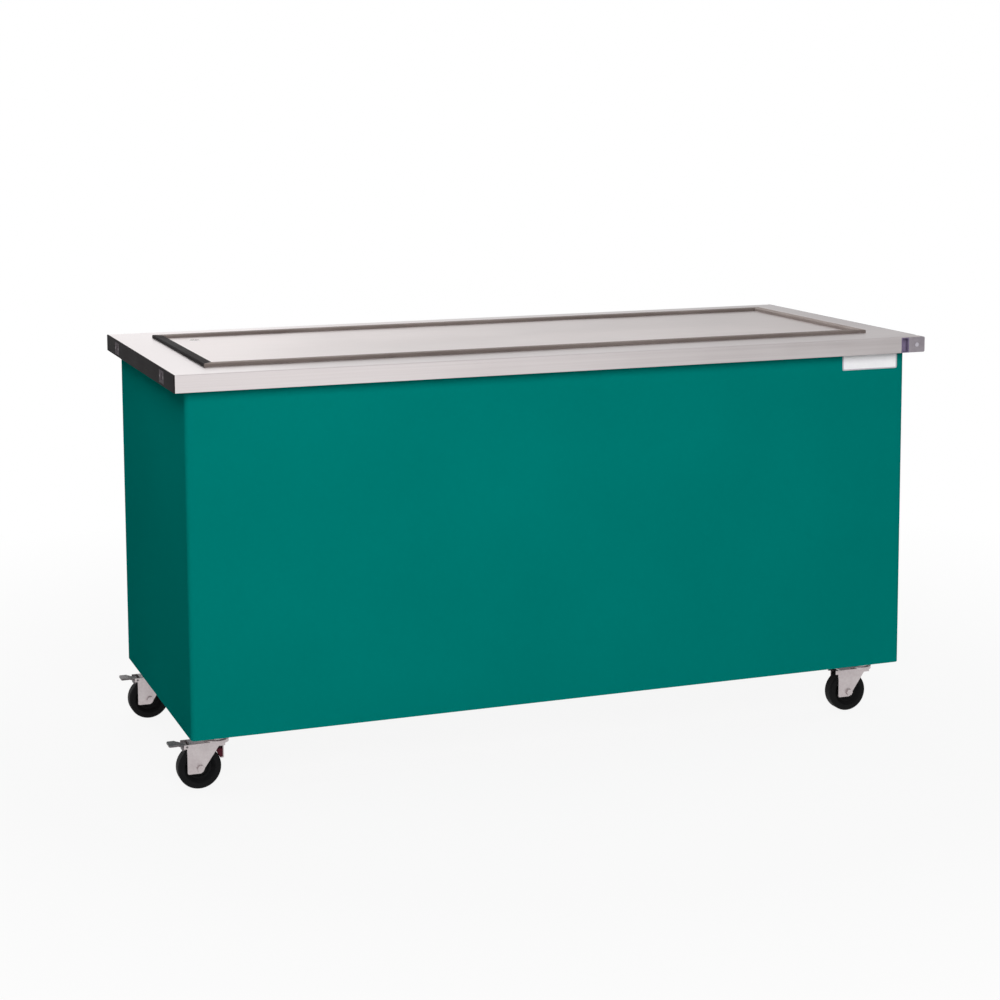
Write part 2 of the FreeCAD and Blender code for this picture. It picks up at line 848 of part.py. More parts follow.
def compressor_door():
    inner_face = body_y - door_return
    pan = box(door_left, door_right, inner_face, body_y, door_bottom, door_top)
    room = box(door_left + door_gauge, door_right - door_gauge, inner_face + door_gauge, body_y - door_gauge,
               door_bottom + door_gauge, door_top - door_gauge)
    mouth = box(door_left + door_hem, door_right - door_hem, inner_face, inner_face + door_gauge,
                door_bottom + door_hem, door_top - door_hem)
    slots = []
    hoods = []
    for x, z in louvre_places():
        slots.append(box(x - louvre_length / 2, x + louvre_length / 2, body_y - door_gauge, body_y,
                         z, z + louvre_height))
        hoods.append(louvre_hood(x, z))
    return fuse(cut(pan, room, mouth, *slots), *hoods)


def hinge_axis():
    return (door_right + return_x) / 2, body_y + hinge_knuckle_radius


def hinge_levels():
    return (door_bottom + hinge_inset, door_top - hinge_inset)


def knuckle(z0, z1):
    x, y = hinge_axis()
    return rod((x, y, z0), (0, 0, 1), z1 - z0, hinge_knuckle_radius)


# Each hinge has three knuckles: the fixed leaf carries the outer two, the door leaf the middle one
def hinge_leaf_pair(level, fixed):
    x, y = hinge_axis()
    third = hinge_height / 3
    low = level - hinge_height / 2
    spans = [(low, low + third - knuckle_gap), (low + 2 * third + knuckle_gap, low + hinge_height)]
    side = 1
    if not fixed:
        spans = [(low + third, low + 2 * third)]
        side = -1
    tip = x + side * hinge_leaf
    leaf_start = x + side * (hinge_knuckle_radius + knuckle_gap)
    leaf = box(min(leaf_start, tip), max(leaf_start, tip), body_y, body_y + hinge_gauge,
               low, low + hinge_height)
    pieces = []
    for z0, z1 in spans:
        pieces.append(knuckle(z0, z1))
        pieces.append(box(min(x, tip), max(x, tip), body_y, body_y + hinge_gauge, z0, z1))
    radius = hinge_pin_radius + (pin_press_gap if fixed else running_gap)
    return cut(fuse(leaf, *pieces), rod((x, y, low), (0, 0, 1), hinge_height, radius))


def hinge_pin(level):
    x, y = hinge_axis()
    low = level - hinge_height / 2
    head = hinge_gauge
    shaft = rod((x, y, low), (0, 0, 1), hinge_height, hinge_pin_radius)
    cap = rod((x, y, low + hinge_height), (0, 0, 1), head, hinge_knuckle_radius)
    return fuse(shaft, cap)


def door_pull():
    x = door_left + pull_inset
    z = (door_bottom + door_top) / 2
    low = z - pull_height / 2
    high = z + pull_height / 2
    out = body_y + pull_reach
    return pipe([(x, body_y, low), (x, out, low), (x, out, high), (x, body_y, high)], pull_bend, pull_radius)


def door_catch():
    z = (door_bottom + door_top) / 2
    face = body_y - door_return - seat_gap
    left = partition_x + sheet / 2
    body = box(left, left + catch_width, face - catch_depth, face, z - catch_height / 2, z + catch_height / 2)
    middle = left + catch_width / 2
    groove = box(middle - catch_groove_width / 2, middle + catch_groove_width / 2, face - catch_groove_depth,
                 face, z - catch_height / 2, z + catch_height / 2)
    return cut(body, groove)


# Controls on the rear header
def control_plate():
    face = body_y + control_gauge
    plate = box(control_x - control_width / 2, control_x + control_width / 2, body_y, face,
                control_z - control_height / 2, control_z + control_height / 2)
    corners = edges_along(plate, (0, 1, 0), lambda c: True)
    plate = plate.makeFillet(control_corner, corners)
    stem_hole = rod((control_x + knob_offset, body_y, control_z), (0, 1, 0), control_gauge,
                    knob_stem + seat_gap)
    return cut(plate, switch_window(body_y, face), stem_hole)


def switch_bezel_part():
    x = control_x + switch_offset
    face = body_y + control_gauge
    half = rocker_width / 2 + switch_side - seat_gap
    high = rocker_radius + switch_head - seat_gap
    flange = box(x - half - switch_flange, x + half + switch_flange, face, face + switch_bezel,
                 control_z - high - switch_flange, control_z + high + switch_flange)
    body = box(x - half, x + half, face - switch_body_depth, face, control_z - high, control_z + high)
    room_x = rocker_width / 2 + rocker_room
    room = rod((x - room_x, face, control_z), (1, 0, 0), 2 * room_x, rocker_radius + rocker_room)
    mouth = box(x - room_x, x + room_x, face, face + switch_bezel,
                control_z - rocker_radius - rocker_room, control_z + rocker_radius + rocker_room)
    pivot = rod((x - half, face, control_z), (1, 0, 0), 2 * half, rocker_pivot_radius + running_gap)
    return cut(fuse(flange, body), room, mouth, pivot)


def switch_rocker():
    x = control_x + switch_offset
    face = body_y + control_gauge
    half = rocker_width / 2
    drum = rod((x - half, face, control_z), (1, 0, 0), rocker_width, rocker_radius)
    rise = switch_bezel + rocker_proud
    dip = rise - rocker_radius * math.tan(math.radians(rocker_tilt))
    wedge = prism([(x - half, face - rocker_radius, control_z - rocker_radius),
                   (x - half, face + rise, control_z - rocker_radius),
                   (x - half, face + dip, control_z),
                   (x - half, face + rise, control_z + rocker_radius),
                   (x - half, face - rocker_radius, control_z + rocker_radius)], (rocker_width, 0, 0))
    reach = half + switch_side - 2 * seat_gap
    pivot = rod((x - reach, face, control_z), (1, 0, 0), 2 * reach, rocker_pivot_radius)
    rocker = fuse(drum.common(wedge), pivot)
    rocker.rotate(V(x, face, control_z), V(1, 0, 0), -rocker_tilt)
    return rocker


def thermostat_body():
    x = control_x + knob_offset
    back = body_y - sheet
    half = thermostat_size / 2
    case = box(x - half, x + half, back - thermostat_depth, back, control_z - half, control_z + half)
    bore = rod((x, back - thermostat_depth / 2, control_z), (0, 1, 0), thermostat_depth / 2,
               knob_stem + running_gap)
    return cut(case, bore)


def thermostat_knob():
    x = control_x + knob_offset
    face = body_y + control_gauge + seat_gap
    skirt = Part.makeCone(knob_radius, knob_skirt_top, knob_skirt_height, V(x, face, control_z), V(0, 1, 0))
    grip = rod((x, face, control_z), (0, 1, 0), knob_height, knob_grip_radius)
    fin = box(x - knob_pointer_width / 2, x + knob_pointer_width / 2, face, face + knob_height,
              control_z - knob_grip_radius, control_z + knob_pointer_reach)
    start = body_y - sheet - thermostat_depth / 2 + seat_gap
    stem = rod((x, start, control_z), (0, 1, 0), face - start + knob_height / 2, knob_stem)
    return fuse(skirt, grip, fin, stem)


def cord_gland():
    back = body_y - sheet
    shank = rod((gland_x, back - gland_tail, control_z), (0, 1, 0), gland_tail + sheet, gland_shank)
    nut = hexagon((gland_x, body_y, control_z), (0, 1, 0), gland_nut, gland_nut_height)
    lock_nut = hexagon((gland_x, back - gland_nut_height / 2, control_z), (0, 1, 0), gland_nut,
                       gland_nut_height / 2)
    dome = Part.makeCone(gland_dome_radius, gland_bore + gland_mouth_wall, gland_dome_height,
                         V(gland_x, body_y + gland_nut_height, control_z), V(0, 1, 0))
    length = gland_tail + sheet + gland_nut_height + gland_dome_height
    bore = rod((gland_x, back - gland_tail, control_z), (0, 1, 0), length, gland_bore)
    return cut(fuse(shank, nut, lock_nut, dome), bore)


# Condensing unit on its folded base
unit_top = floor_top + unit_height
feet_top = unit_top + grommet_height
shell_base = feet_top + foot_plate
unit_back = body_y - door_return - unit_rear_room
coil_back = unit_back - coil_rear_room
coil_front = coil_back - coil_depth
coil_z0 = unit_top
fan_z = coil_z0 + coil_height / 2
shroud_front = coil_front - shroud_depth
fan_y = shroud_front - orifice_lip - fan_hub_length / 2
hub_front = fan_y - fan_hub_length / 2
motor_back = hub_front - motor_gap
motor_front = motor_back - motor_length
orifice_radius = min(coil_width, coil_height) / 2 - shroud_gauge - orifice_margin
fan_radius = orifice_radius - fan_tip_gap
compressor_y = motor_front - compressor_room - compressor_radius - compressor_seam
foot_half = foot_spread / 2 + grommet_radius
unit_front = compressor_y - foot_half - unit_front_room
line_x = unit_x - coil_width / 2 - line_offset
liquid_line_z = coil_z0 + coil_height + liquid_line_rise


def unit_base():
    half = unit_width / 2
    outside = box(unit_x - half, unit_x + half, unit_front, unit_back, floor_top, unit_top)
    inside = box(unit_x - half + sheet, unit_x + half - sheet, unit_front + sheet, unit_back - sheet,
                 floor_top, unit_top - sheet)
    return cut(outside, inside)


def foot_places():
    half = foot_spread / 2
    return [(unit_x + sx * half, compressor_y + sy * half) for sx in (-1, 1) for sy in (-1, 1)]


def compressor_grommets():
    grommets = []
    for x, y in foot_places():
        low = rod((x, y, unit_top), (0, 0, 1), grommet_flange, grommet_radius)
        waist = rod((x, y, unit_top), (0, 0, 1), grommet_height, grommet_waist)
        high = rod((x, y, feet_top - grommet_flange), (0, 0, 1), grommet_flange, grommet_radius)
        grommets.append(fuse(low, waist, high))
    return group(*grommets)


# Hermetic compressor: two drawn shells with a welded seam, on a plate with four ears
def compressor():
    r = compressor_radius
    high = compressor_height
    foot = compressor_foot_radius
    seam_z = compressor_seam_height
    seam_r = r + compressor_seam
    dome_z = high - compressor_dome
    swing = foot * math.sqrt(0.5)
    edges = [Part.LineSegment(V(0, 0, 0), V(r - foot, 0, 0)).toShape(),
             Part.Arc(V(r - foot, 0, 0), V(r - foot + swing, 0, foot - swing), V(r, 0, foot)).toShape()]
    steps = [(r, foot), (r, seam_z), (seam_r, seam_z), (seam_r, seam_z + compressor_seam),
             (r, seam_z + compressor_seam), (r, dome_z)]
    for (x0, z0), (x1, z1) in zip(steps, steps[1:]):
        edges.append(Part.LineSegment(V(x0, 0, z0), V(x1, 0, z1)).toShape())
    ball = (r ** 2 + compressor_dome ** 2) / (2 * compressor_dome)
    half_turn = math.acos(1 - compressor_dome / ball) / 2
    shoulder = V(ball * math.sin(half_turn), 0, high - ball + ball * math.cos(half_turn))
    edges.append(Part.Arc(V(r, 0, dome_z), shoulder, V(0, 0, high)).toShape())
    edges.append(Part.LineSegment(V(0, 0, high), V(0, 0, 0)).toShape())
    can = Part.Face(Part.Wire(edges)).revolve(V(0, 0, 0), V(0, 0, 1), 360)
    can.translate(V(unit_x, compressor_y, feet_top))
    feet = box(unit_x - foot_half, unit_x + foot_half, compressor_y - foot_half, compressor_y + foot_half,
               feet_top, shell_base)
    feet = feet.makeFillet(grommet_radius, edges_along(feet, (0, 0, 1), lambda c: True))
    reach = r + stub_reach
    suction = rod((unit_x, compressor_y, feet_top + suction_rise), (1, 0, 0), reach, stub_radius)
    discharge = rod((unit_x, compressor_y, feet_top + discharge_rise), (-1, 0, 0), reach, stub_radius)
    half_box = terminal_width / 2
    box_z = feet_top + terminal_rise
    terminal = box(unit_x - half_box, unit_x + half_box, compressor_y - r - terminal_reach, compressor_y,
                   box_z, box_z + terminal_height)
    return fuse(can, feet, suction, discharge, terminal)


def condenser_rows():
    first = coil_z0 + (coil_height - (coil_rows - 1) * coil_row_pitch) / 2
    return [first + index * coil_row_pitch for index in range(coil_rows)]


def return_bend(x, side, low):
    ring = Part.makeTorus(coil_row_pitch / 2, tube_radius, V(0, 0, 0), V(0, 1, 0))
    reach = coil_row_pitch
    outward = (0, reach) if side > 0 else (-reach, 0)
    bend = ring.common(box(*outward, -reach, reach, -reach, reach))
    bend.translate(V(x, (coil_front + coil_back) / 2, low + coil_row_pitch / 2))
    return bend


# Condenser: finned core grooved on both faces, end plates and return bends
def condenser_coil():
    half = coil_width / 2
    middle_y = (coil_front + coil_back) / 2
    core = box(unit_x - half, unit_x + half, coil_front, coil_back, coil_z0, coil_z0 + coil_height)
    grooves = []
    count = int((coil_width - 2 * end_plate - fin_gap) / fin_pitch)
    start = unit_x - (count - 1) * fin_pitch / 2
    for index in range(count):
        x = start + index * fin_pitch
        for y0, y1 in ((coil_front, coil_front + fin_groove), (coil_back - fin_groove, coil_back)):
            grooves.append(box(x - fin_gap / 2, x + fin_gap / 2, y0, y1, coil_z0, coil_z0 + coil_height))
    rows = condenser_rows()
    pieces = []
    for index in range(0, coil_rows - 1, 2):
        pieces.append(return_bend(unit_x + half, 1, rows[index]))
    for index in range(1, coil_rows - 2, 2):
        pieces.append(return_bend(unit_x - half, -1, rows[index]))
    for z in (rows[0], rows[-1]):
        pieces.append(rod((unit_x - half, middle_y, z), (-1, 0, 0), stub_reach, tube_radius))
    return fuse(cut(core, *grooves), *pieces)


# Fan shroud with its orifice ring and the spider that holds the motor
def fan_shroud():
    half = coil_width / 2
    top = coil_z0 + coil_height
    box_out = box(unit_x - half, unit_x + half, shroud_front, coil_front, coil_z0, top)
    box_in = box(unit_x - half + shroud_gauge, unit_x + half - shroud_gauge, shroud_front + shroud_gauge,
                 coil_front, coil_z0 + shroud_gauge, top - shroud_gauge)
    lip = rod((unit_x, shroud_front - orifice_lip, fan_z), (0, 1, 0), orifice_lip + shroud_gauge,
              orifice_radius + shroud_gauge)
    orifice = rod((unit_x, shroud_front - orifice_lip, fan_z), (0, 1, 0), orifice_lip + shroud_gauge,
                  orifice_radius)
    shell = cut(fuse(cut(box_out, box_in), lip), orifice)
    ring_y = motor_back - 2 * arm_gauge
    ring_outer = motor_radius + arm_gauge
    ring = rod((unit_x, ring_y, fan_z), (0, 1, 0), 2 * arm_gauge, ring_outer)
    arms = []
    far = orifice_radius + shroud_gauge + arm_gauge
    for index in range(arm_count):
        radial = box(unit_x + motor_radius, unit_x + far + arm_gauge, ring_y, ring_y + arm_gauge,
                     fan_z - arm_width / 2, fan_z + arm_width / 2)
        axial = box(unit_x + far, unit_x + far + arm_gauge, ring_y, shroud_front,
                    fan_z - arm_width / 2, fan_z + arm_width / 2)
        arm = fuse(radial, axial)
        arm.rotate(V(unit_x, 0, fan_z), V(0, 1, 0), 90 + 360 * index / arm_count)
        arms.append(arm)
    motor_hole = rod((unit_x, ring_y, fan_z), (0, 1, 0), 2 * arm_gauge, motor_radius + seat_gap)
    return cut(fuse(shell, ring, *arms), motor_hole)


def fan_motor():
    case = rod((unit_x, motor_front, fan_z), (0, 1, 0), motor_length, motor_radius)
    rims = [edge for edge in case.Edges if edge.Curve.TypeId == "Part::GeomCircle"]
    case = case.makeFillet(motor_round, rims)
    bore = rod((unit_x, motor_back - motor_bore_depth, fan_z), (0, 1, 0), motor_bore_depth,
               fan_shaft_radius + running_gap)
    return cut(case, bore)


# Axial fan: pitched blades on a hub, shaft running in the motor
def fan_blade():
    hub = rod((unit_x, hub_front, fan_z), (0, 1, 0), fan_hub_length, fan_hub_radius)
    shaft_start = motor_back - motor_bore_depth + seat_gap
    shaft = rod((unit_x, shaft_start, fan_z), (0, 1, 0), fan_y - shaft_start, fan_shaft_radius)
    blades = []
    corner = fan_radius - fan_tip_bow
    half = fan_chord / 2
    root = fan_root_chord / 2
    for index in range(fan_blades):
        tip = Part.Arc(V(corner, 0, half), V(fan_radius, 0, 0), V(corner, 0, -half)).toShape()
        lead = Part.LineSegment(V(corner, 0, -half), V(fan_root_radius, 0, -root)).toShape()
        inner = Part.LineSegment(V(fan_root_radius, 0, -root), V(fan_root_radius, 0, root)).toShape()
        trail = Part.LineSegment(V(fan_root_radius, 0, root), V(corner, 0, half)).toShape()
        blade = Part.Face(Part.Wire([tip, lead, inner, trail])).extrude(V(0, fan_blade_thickness, 0))
        blade.rotate(V(0, 0, 0), V(1, 0, 0), fan_pitch)
        blade.rotate(V(0, 0, 0), V(0, 1, 0), 360 * index / fan_blades)
        blade.translate(V(unit_x, fan_y, fan_z))
        blades.append(blade)
    return fuse(hub, shaft, *blades)


def condenser_port(z):
    return (unit_x - coil_width / 2 - stub_reach, (coil_front + coil_back) / 2, z)


def drier_base():
    return condenser_rows()[0] + drier_rise


def filter_drier():
    port = condenser_port(condenser_rows()[0])
    low = drier_base()
    inlet = pipe([port, (line_x, port[1], port[2]), (line_x, port[1], low + drier_radius)],
                 line_bend, line_radius)
    body = rod((line_x, port[1], low), (0, 0, 1), drier_length, drier_radius)
    rims = [edge for edge in body.Edges if edge.Curve.TypeId == "Part::GeomCircle"]
    body = body.makeFillet(drier_round, rims)
    return fuse(body, inlet)


def liquid_line():
    port = condenser_port(condenser_rows()[0])
    last = coil_row(coil_passes - 1)
    return pipe([(line_x, port[1], drier_base() + drier_length), (line_x, port[1], liquid_line_z),
                 (coil_tail_x, last, liquid_line_z), (coil_tail_x, last, coil_tail_bottom)],
                line_bend, line_radius)


def suction_line():
    z = feet_top + suction_rise
    first = coil_row(0)
    end = unit_x + compressor_radius + stub_reach
    return pipe([(coil_tail_x, first, coil_tail_bottom), (coil_tail_x, first, z),
                 (coil_tail_x, compressor_y, z), (end, compressor_y, z)], line_bend, tube_radius)


def discharge_line():
    z = feet_top + discharge_rise
    start = unit_x - compressor_radius - stub_reach
    port = condenser_port(condenser_rows()[-1])
    return pipe([(start, compressor_y, z), (line_x, compressor_y, z), (line_x, compressor_y, port[2]),
                 (line_x, port[1], port[2]), port], line_bend, line_radius)


# Casters: swivel plate, fork, wheel and axle at each corner, brakes on the two at the left
def caster_places():
    x = body_x - shell_lip - caster_room_x - caster_plate_length / 2
    reach = body_y - shell_lip - caster_plate_width / 2
    front = caster_room_front - reach
    back = reach - caster_room_back
    return [("front_left", -x, front), ("front_right", x, front),
            ("back_left", -x, back), ("back_right", x, back)]


def bolt_places():
    places = []
    for name, x, y in caster_places():
        for dx in (-caster_bolt_pitch_x / 2, caster_bolt_pitch_x / 2):
            for dy in (-caster_bolt_pitch_y / 2, caster_bolt_pitch_y / 2):
                places.append((x + dx, y + dy))
    return places


def caster_plates():
    plates = []
    for name, x, y in caster_places():
        half_x = caster_plate_length / 2
        half_y = caster_plate_width / 2
        plate = box(x - half_x, x + half_x, y - half_y, y + half_y, plate_under, frame_bottom)
        plate = plate.makeFillet(caster_plate_corner, edges_along(plate, (0, 0, 1), lambda c: True))
        race = rod((x, y, race_under), (0, 0, 1), race_height, race_radius)
        cup = rod((x, y, plate_under - race_cup_height), (0, 0, 1), race_cup_height, race_cup_radius)
        pin_foot = crown_under - seat_gap - kingpin_head_height
        pin = rod((x, y, pin_foot), (0, 0, 1), race_under - pin_foot, kingpin_radius)
        head = rod((x, y, pin_foot), (0, 0, 1), kingpin_head_height, kingpin_head_radius)
        plates.append(fuse(plate, race, cup, pin, head))
    holes = []
    for x, y in bolt_places():
        holes.append(rod((x, y, plate_under), (0, 0, 1), caster_plate_thickness,
                         caster_bolt_radius + running_gap))
    return group(*[cut(plate, *holes) for plate in plates])


# Fork leg: a band at crown level with an ear ahead of the wheel, and a tapering leg below it
def fork_leg(axle_x, y0, swivel_x):
    ear = axle_x - fork_ear_lead
    lead = axle_x - fork_lead
    foot = wheel_radius - fork_foot_drop
    crown_edge = swivel_x + fork_web_reach
    top = crown_under + crown_plate
    band = top - fork_band
    leg = prism([(ear, y0, top), (ear, y0, band), (lead, y0, band), (lead, y0, foot),
                 (axle_x + fork_toe, y0, foot), (swivel_x + fork_knee, y0, band), (crown_edge, y0, band),
                 (crown_edge, y0, top)], (0, fork_gauge, 0))
    return leg.makeFillet(fork_corner, edges_along(leg, (0, 1, 0), lambda c: c.z < wheel_radius))


def fork_half_gap():
    return wheel_width / 2 + hub_side_gap


def pedal_level():
    return crown_under + crown_plate - fork_band / 2


def caster_fork(x, y, braked):
    axle_x = x - caster_trail
    half = fork_half_gap()
    legs = [fork_leg(axle_x, y + half, x), fork_leg(axle_x, y - half - fork_gauge, x)]
    web = box(axle_x - fork_web_lead, x + fork_web_reach, y - half - fork_gauge, y + half + fork_gauge,
              crown_under, crown_under + crown_plate)
    crown = rod((x, y, crown_under), (0, 0, 1), crown_height, crown_radius)
    width = 2 * (half + fork_gauge)
    holes = [rod((x, y, crown_under), (0, 0, 1), crown_height, kingpin_radius + running_gap),
             rod((axle_x, y - width / 2, wheel_radius), (0, 1, 0), width, axle_radius + running_gap / 2)]
    if braked:
        holes.append(rod((axle_x - pedal_pivot_lead, y - width / 2, pedal_level()), (0, 1, 0), width,
                         pedal_pin_radius + running_gap))
    return cut(fuse(crown, web, *legs), *holes)


def caster_axle(x, y):
    axle_x = x - caster_trail
    half = fork_half_gap() + fork_gauge
    shaft = rod((axle_x, y - half, wheel_radius), (0, 1, 0), 2 * half, axle_radius)
    head = hexagon((axle_x, y - half - axle_head_height, wheel_radius), (0, 1, 0), axle_head_radius,
                   axle_head_height)
    nut = hexagon((axle_x, y + half, wheel_radius), (0, 1, 0), axle_head_radius, axle_head_height)
    return fuse(shaft, head, nut)


# Wheel: hub, dished web and a tread with rounded shoulders, turned about its bore
def caster_wheel(x, y):
    bore = axle_radius + running_gap
    hub = fork_half_gap() - seat_gap
    half = wheel_width / 2
    web = wheel_web / 2
    shoulder = wheel_shoulder
    swing = shoulder * (1 - math.sqrt(0.5))
    r = wheel_radius
    dish = (wheel_hub_radius + wheel_rim_inner) / 2
    outline = [V(bore, -hub, 0), V(wheel_hub_radius, -hub, 0), V(dish - wheel_web_flat / 2, -web, 0),
               V(dish + wheel_web_flat / 2, -web, 0), V(wheel_rim_inner, -half, 0), V(r - shoulder, -half, 0)]
    mirrored = [V(point.x, -point.y, 0) for point in reversed(outline)]
    edges = []
    for first, last in list(zip(outline, outline[1:])) + list(zip(mirrored, mirrored[1:])):
        edges.append(Part.LineSegment(first, last).toShape())
    for side in (-1, 1):
        edges.append(Part.Arc(V(r - shoulder, side * half, 0), V(r - swing, side * (half - swing), 0),
                              V(r, side * (half - shoulder), 0)).toShape())
    edges.append(Part.LineSegment(V(r, shoulder - half, 0), V(r, half - shoulder, 0)).toShape())
    edges.append(Part.LineSegment(V(bore, hub, 0), V(bore, -hub, 0)).toShape())
    wheel = Part.Face(Part.Wire(Part.__sortEdges__(edges))).revolve(V(0, 0, 0), V(0, 1, 0), 360)
    wheel.translate(V(x - caster_trail, y, wheel_radius))
    return wheel


# Brake pedal: tread bar, pivot pin and the shoe that bears on the wheel
def brake_pedal(x, y):
    pivot_x = x - caster_trail - pedal_pivot_lead
    z = pedal_level()
    half = pedal_thickness / 2
    tip = pivot_x - pedal_reach
    half_arm = fork_half_gap() - pedal_side_gap
    half_pad = pedal_pad_width / 2
    bend = pivot_x - pedal_flat
    toe = tip + pedal_pad_length
    grip = tip + pedal_pad_length / 2
    high = z + pedal_rise
    side = [(pivot_x + pedal_heel, z), (bend, z), (toe, high), (grip, high)]
    arm = prism([(px, y - half_arm, pz + half) for px, pz in side]
                + [(px, y - half_arm, pz - half) for px, pz in reversed(side)], (0, 2 * half_arm, 0))
    pad = box(tip, toe, y - half_pad, y + half_pad, high - half, high + half)
    pad = pad.makeFillet(pedal_thickness, edges_along(pad, (0, 0, 1), lambda c: c.x < tip + half))
    width = fork_half_gap() + fork_gauge + seat_gap
    pin = rod((pivot_x, y - width, z), (0, 1, 0), 2 * width, pedal_pin_radius)
    shoe_end = pivot_x - pedal_shoe_set
    lead = pedal_pivot_lead + pedal_shoe_set
    shoe_foot = wheel_radius + math.sqrt(wheel_radius ** 2 - lead ** 2) + pedal_shoe_gap
    half_shoe = pedal_shoe_width / 2
    shoe = box(shoe_end - pedal_shoe_length, shoe_end, y - half_shoe, y + half_shoe, shoe_foot, z)
    return fuse(arm, pad, pin, shoe)


def build():
    os.makedirs("parts", exist_ok=True)
    save("counter_deck", counter_deck())
    keepers_y = (-keeper_spacing / 2, keeper_spacing / 2)
    save("end_trim_left", end_trim(-1, [keeper(y, seat_gap) for y in keepers_y]))
    save("end_trim_right", end_trim(1, [lineup_room(deck_end, half_length, deck_top)]))
    save("lineup_keepers", group(*[keeper_plate(y) for y in keepers_y]))
    save("lineup_pocket", lineup_pocket())
    save("lineup_block", lineup_block())
    save("frost_plate", frost_plate())
    save("breaker_long", group(*[breaker_strip(breaker_x, breaker_y, turn) for turn in (0, 180)]))
    save("breaker_short", group(*[breaker_strip(breaker_y, breaker_x, turn) for turn in (90, 270)]))
    save("evaporator_coil", evaporator_coil())
    save("foam_slab", foam_slab())
    save("insulation_pan", insulation_pan())
    save("drain_pipe", drain_pipe())
    save("drain_valve_body", drain_valve_body())
    save("drain_lever", drain_lever())
    save("body_shell", body_shell())
    save("base_frame", base_frame())
    save("corner_posts", corner_posts())
    save("storage_floor", storage_floor())
    save("partition", partition())
    save("rear_header", rear_header())
    save("compressor_door", compressor_door())
    save("hinge_leaves_fixed", group(*[hinge_leaf_pair(z, True) for z in hinge_levels()]))
    save("hinge_leaves_door", group(*[hinge_leaf_pair(z, False) for z in hinge_levels()]))
    save("hinge_pins", group(*[hinge_pin(z) for z in hinge_levels()]))
    save("door_pull", door_pull())
    save("door_catch", door_catch())
    save("control_plate", control_plate())
    save("switch_bezel", switch_bezel_part())
    save("switch_rocker", switch_rocker())
    save("thermostat_body", thermostat_body())
    save("thermostat_knob", thermostat_knob())
    save("cord_gland", cord_gland())
    save("unit_base", unit_base())
    save("compressor_grommets", compressor_grommets())
    save("compressor", compressor())
    save("condenser_coil", condenser_coil())
    save("fan_shroud", fan_shroud())
    save("fan_motor", fan_motor())
    save("fan_blade", fan_blade())
    save("filter_drier", filter_drier())
    save("liquid_line", liquid_line())
    save("suction_line", suction_line())
    save("discharge_line", discharge_line())
    save("caster_plates", caster_plates())
    for name, x, y in caster_places():
        braked = x < 0
        save("caster_fork_" + name, caster_fork(x, y, braked))
        save("caster_wheel_" + name, caster_wheel(x, y))
        save("caster_axle_" + name, caster_axle(x, y))
        if braked:
            save("brake_pedal_" + name, brake_pedal(x, y))


build()
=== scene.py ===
import bpy
import math
from mathutils import Matrix, Vector


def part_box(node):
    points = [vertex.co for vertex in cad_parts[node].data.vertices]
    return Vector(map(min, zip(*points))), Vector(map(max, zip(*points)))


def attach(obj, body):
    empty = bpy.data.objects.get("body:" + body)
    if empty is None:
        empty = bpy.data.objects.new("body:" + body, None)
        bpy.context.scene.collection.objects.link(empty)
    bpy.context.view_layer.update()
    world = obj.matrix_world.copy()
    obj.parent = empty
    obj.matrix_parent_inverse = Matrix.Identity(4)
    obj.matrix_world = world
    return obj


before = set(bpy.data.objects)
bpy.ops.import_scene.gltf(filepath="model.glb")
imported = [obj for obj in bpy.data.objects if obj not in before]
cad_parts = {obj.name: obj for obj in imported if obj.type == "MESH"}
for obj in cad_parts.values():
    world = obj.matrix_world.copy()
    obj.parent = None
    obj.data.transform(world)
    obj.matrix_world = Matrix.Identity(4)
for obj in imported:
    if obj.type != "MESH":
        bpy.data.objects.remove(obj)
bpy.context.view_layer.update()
mm = 0.001
print("frame loaded:", len(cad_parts), "nodes")


def linearColour(hexCode):
    channels = [int(hexCode[i:i + 2], 16) / 255 for i in (1, 3, 5)]
    return [c / 12.92 if c <= 0.04045 else ((c + 0.055) / 1.055) ** 2.4 for c in channels] + [1.0]


# settings go to sockets by name or number, otherwise to the node itself
def addNode(tree, kind, settings=None, links=None, stops=None):
    node = tree.nodes.new(kind)
    for key, value in (settings or {}).items():
        if isinstance(key, int) or key in node.inputs:
            node.inputs[key].default_value = value
        else:
            setattr(node, key, value)
    for key, source in (links or {}).items():
        tree.links.new(source, node.inputs[key])
    if stops:
        ramp = node.color_ramp.elements
        while len(ramp) < len(stops):
            ramp.new(1.0)
        for element, (place, hexCode) in zip(ramp, stops):
            element.position = place
            element.color = linearColour(hexCode)
    return node


def emptyTree(name):
    material = bpy.data.materials.new(name)
    material.use_nodes = True
    material.node_tree.nodes.clear()
    return material, material.node_tree


noiseSpan = (0.3, 0.7)    # most of a noise texture lies between these
rubSpan = (0.98, 0.8)    # agreement of two normals at which rubbing starts and is full
softEdge = 0.3    # mm over which one set of tones gives way to another


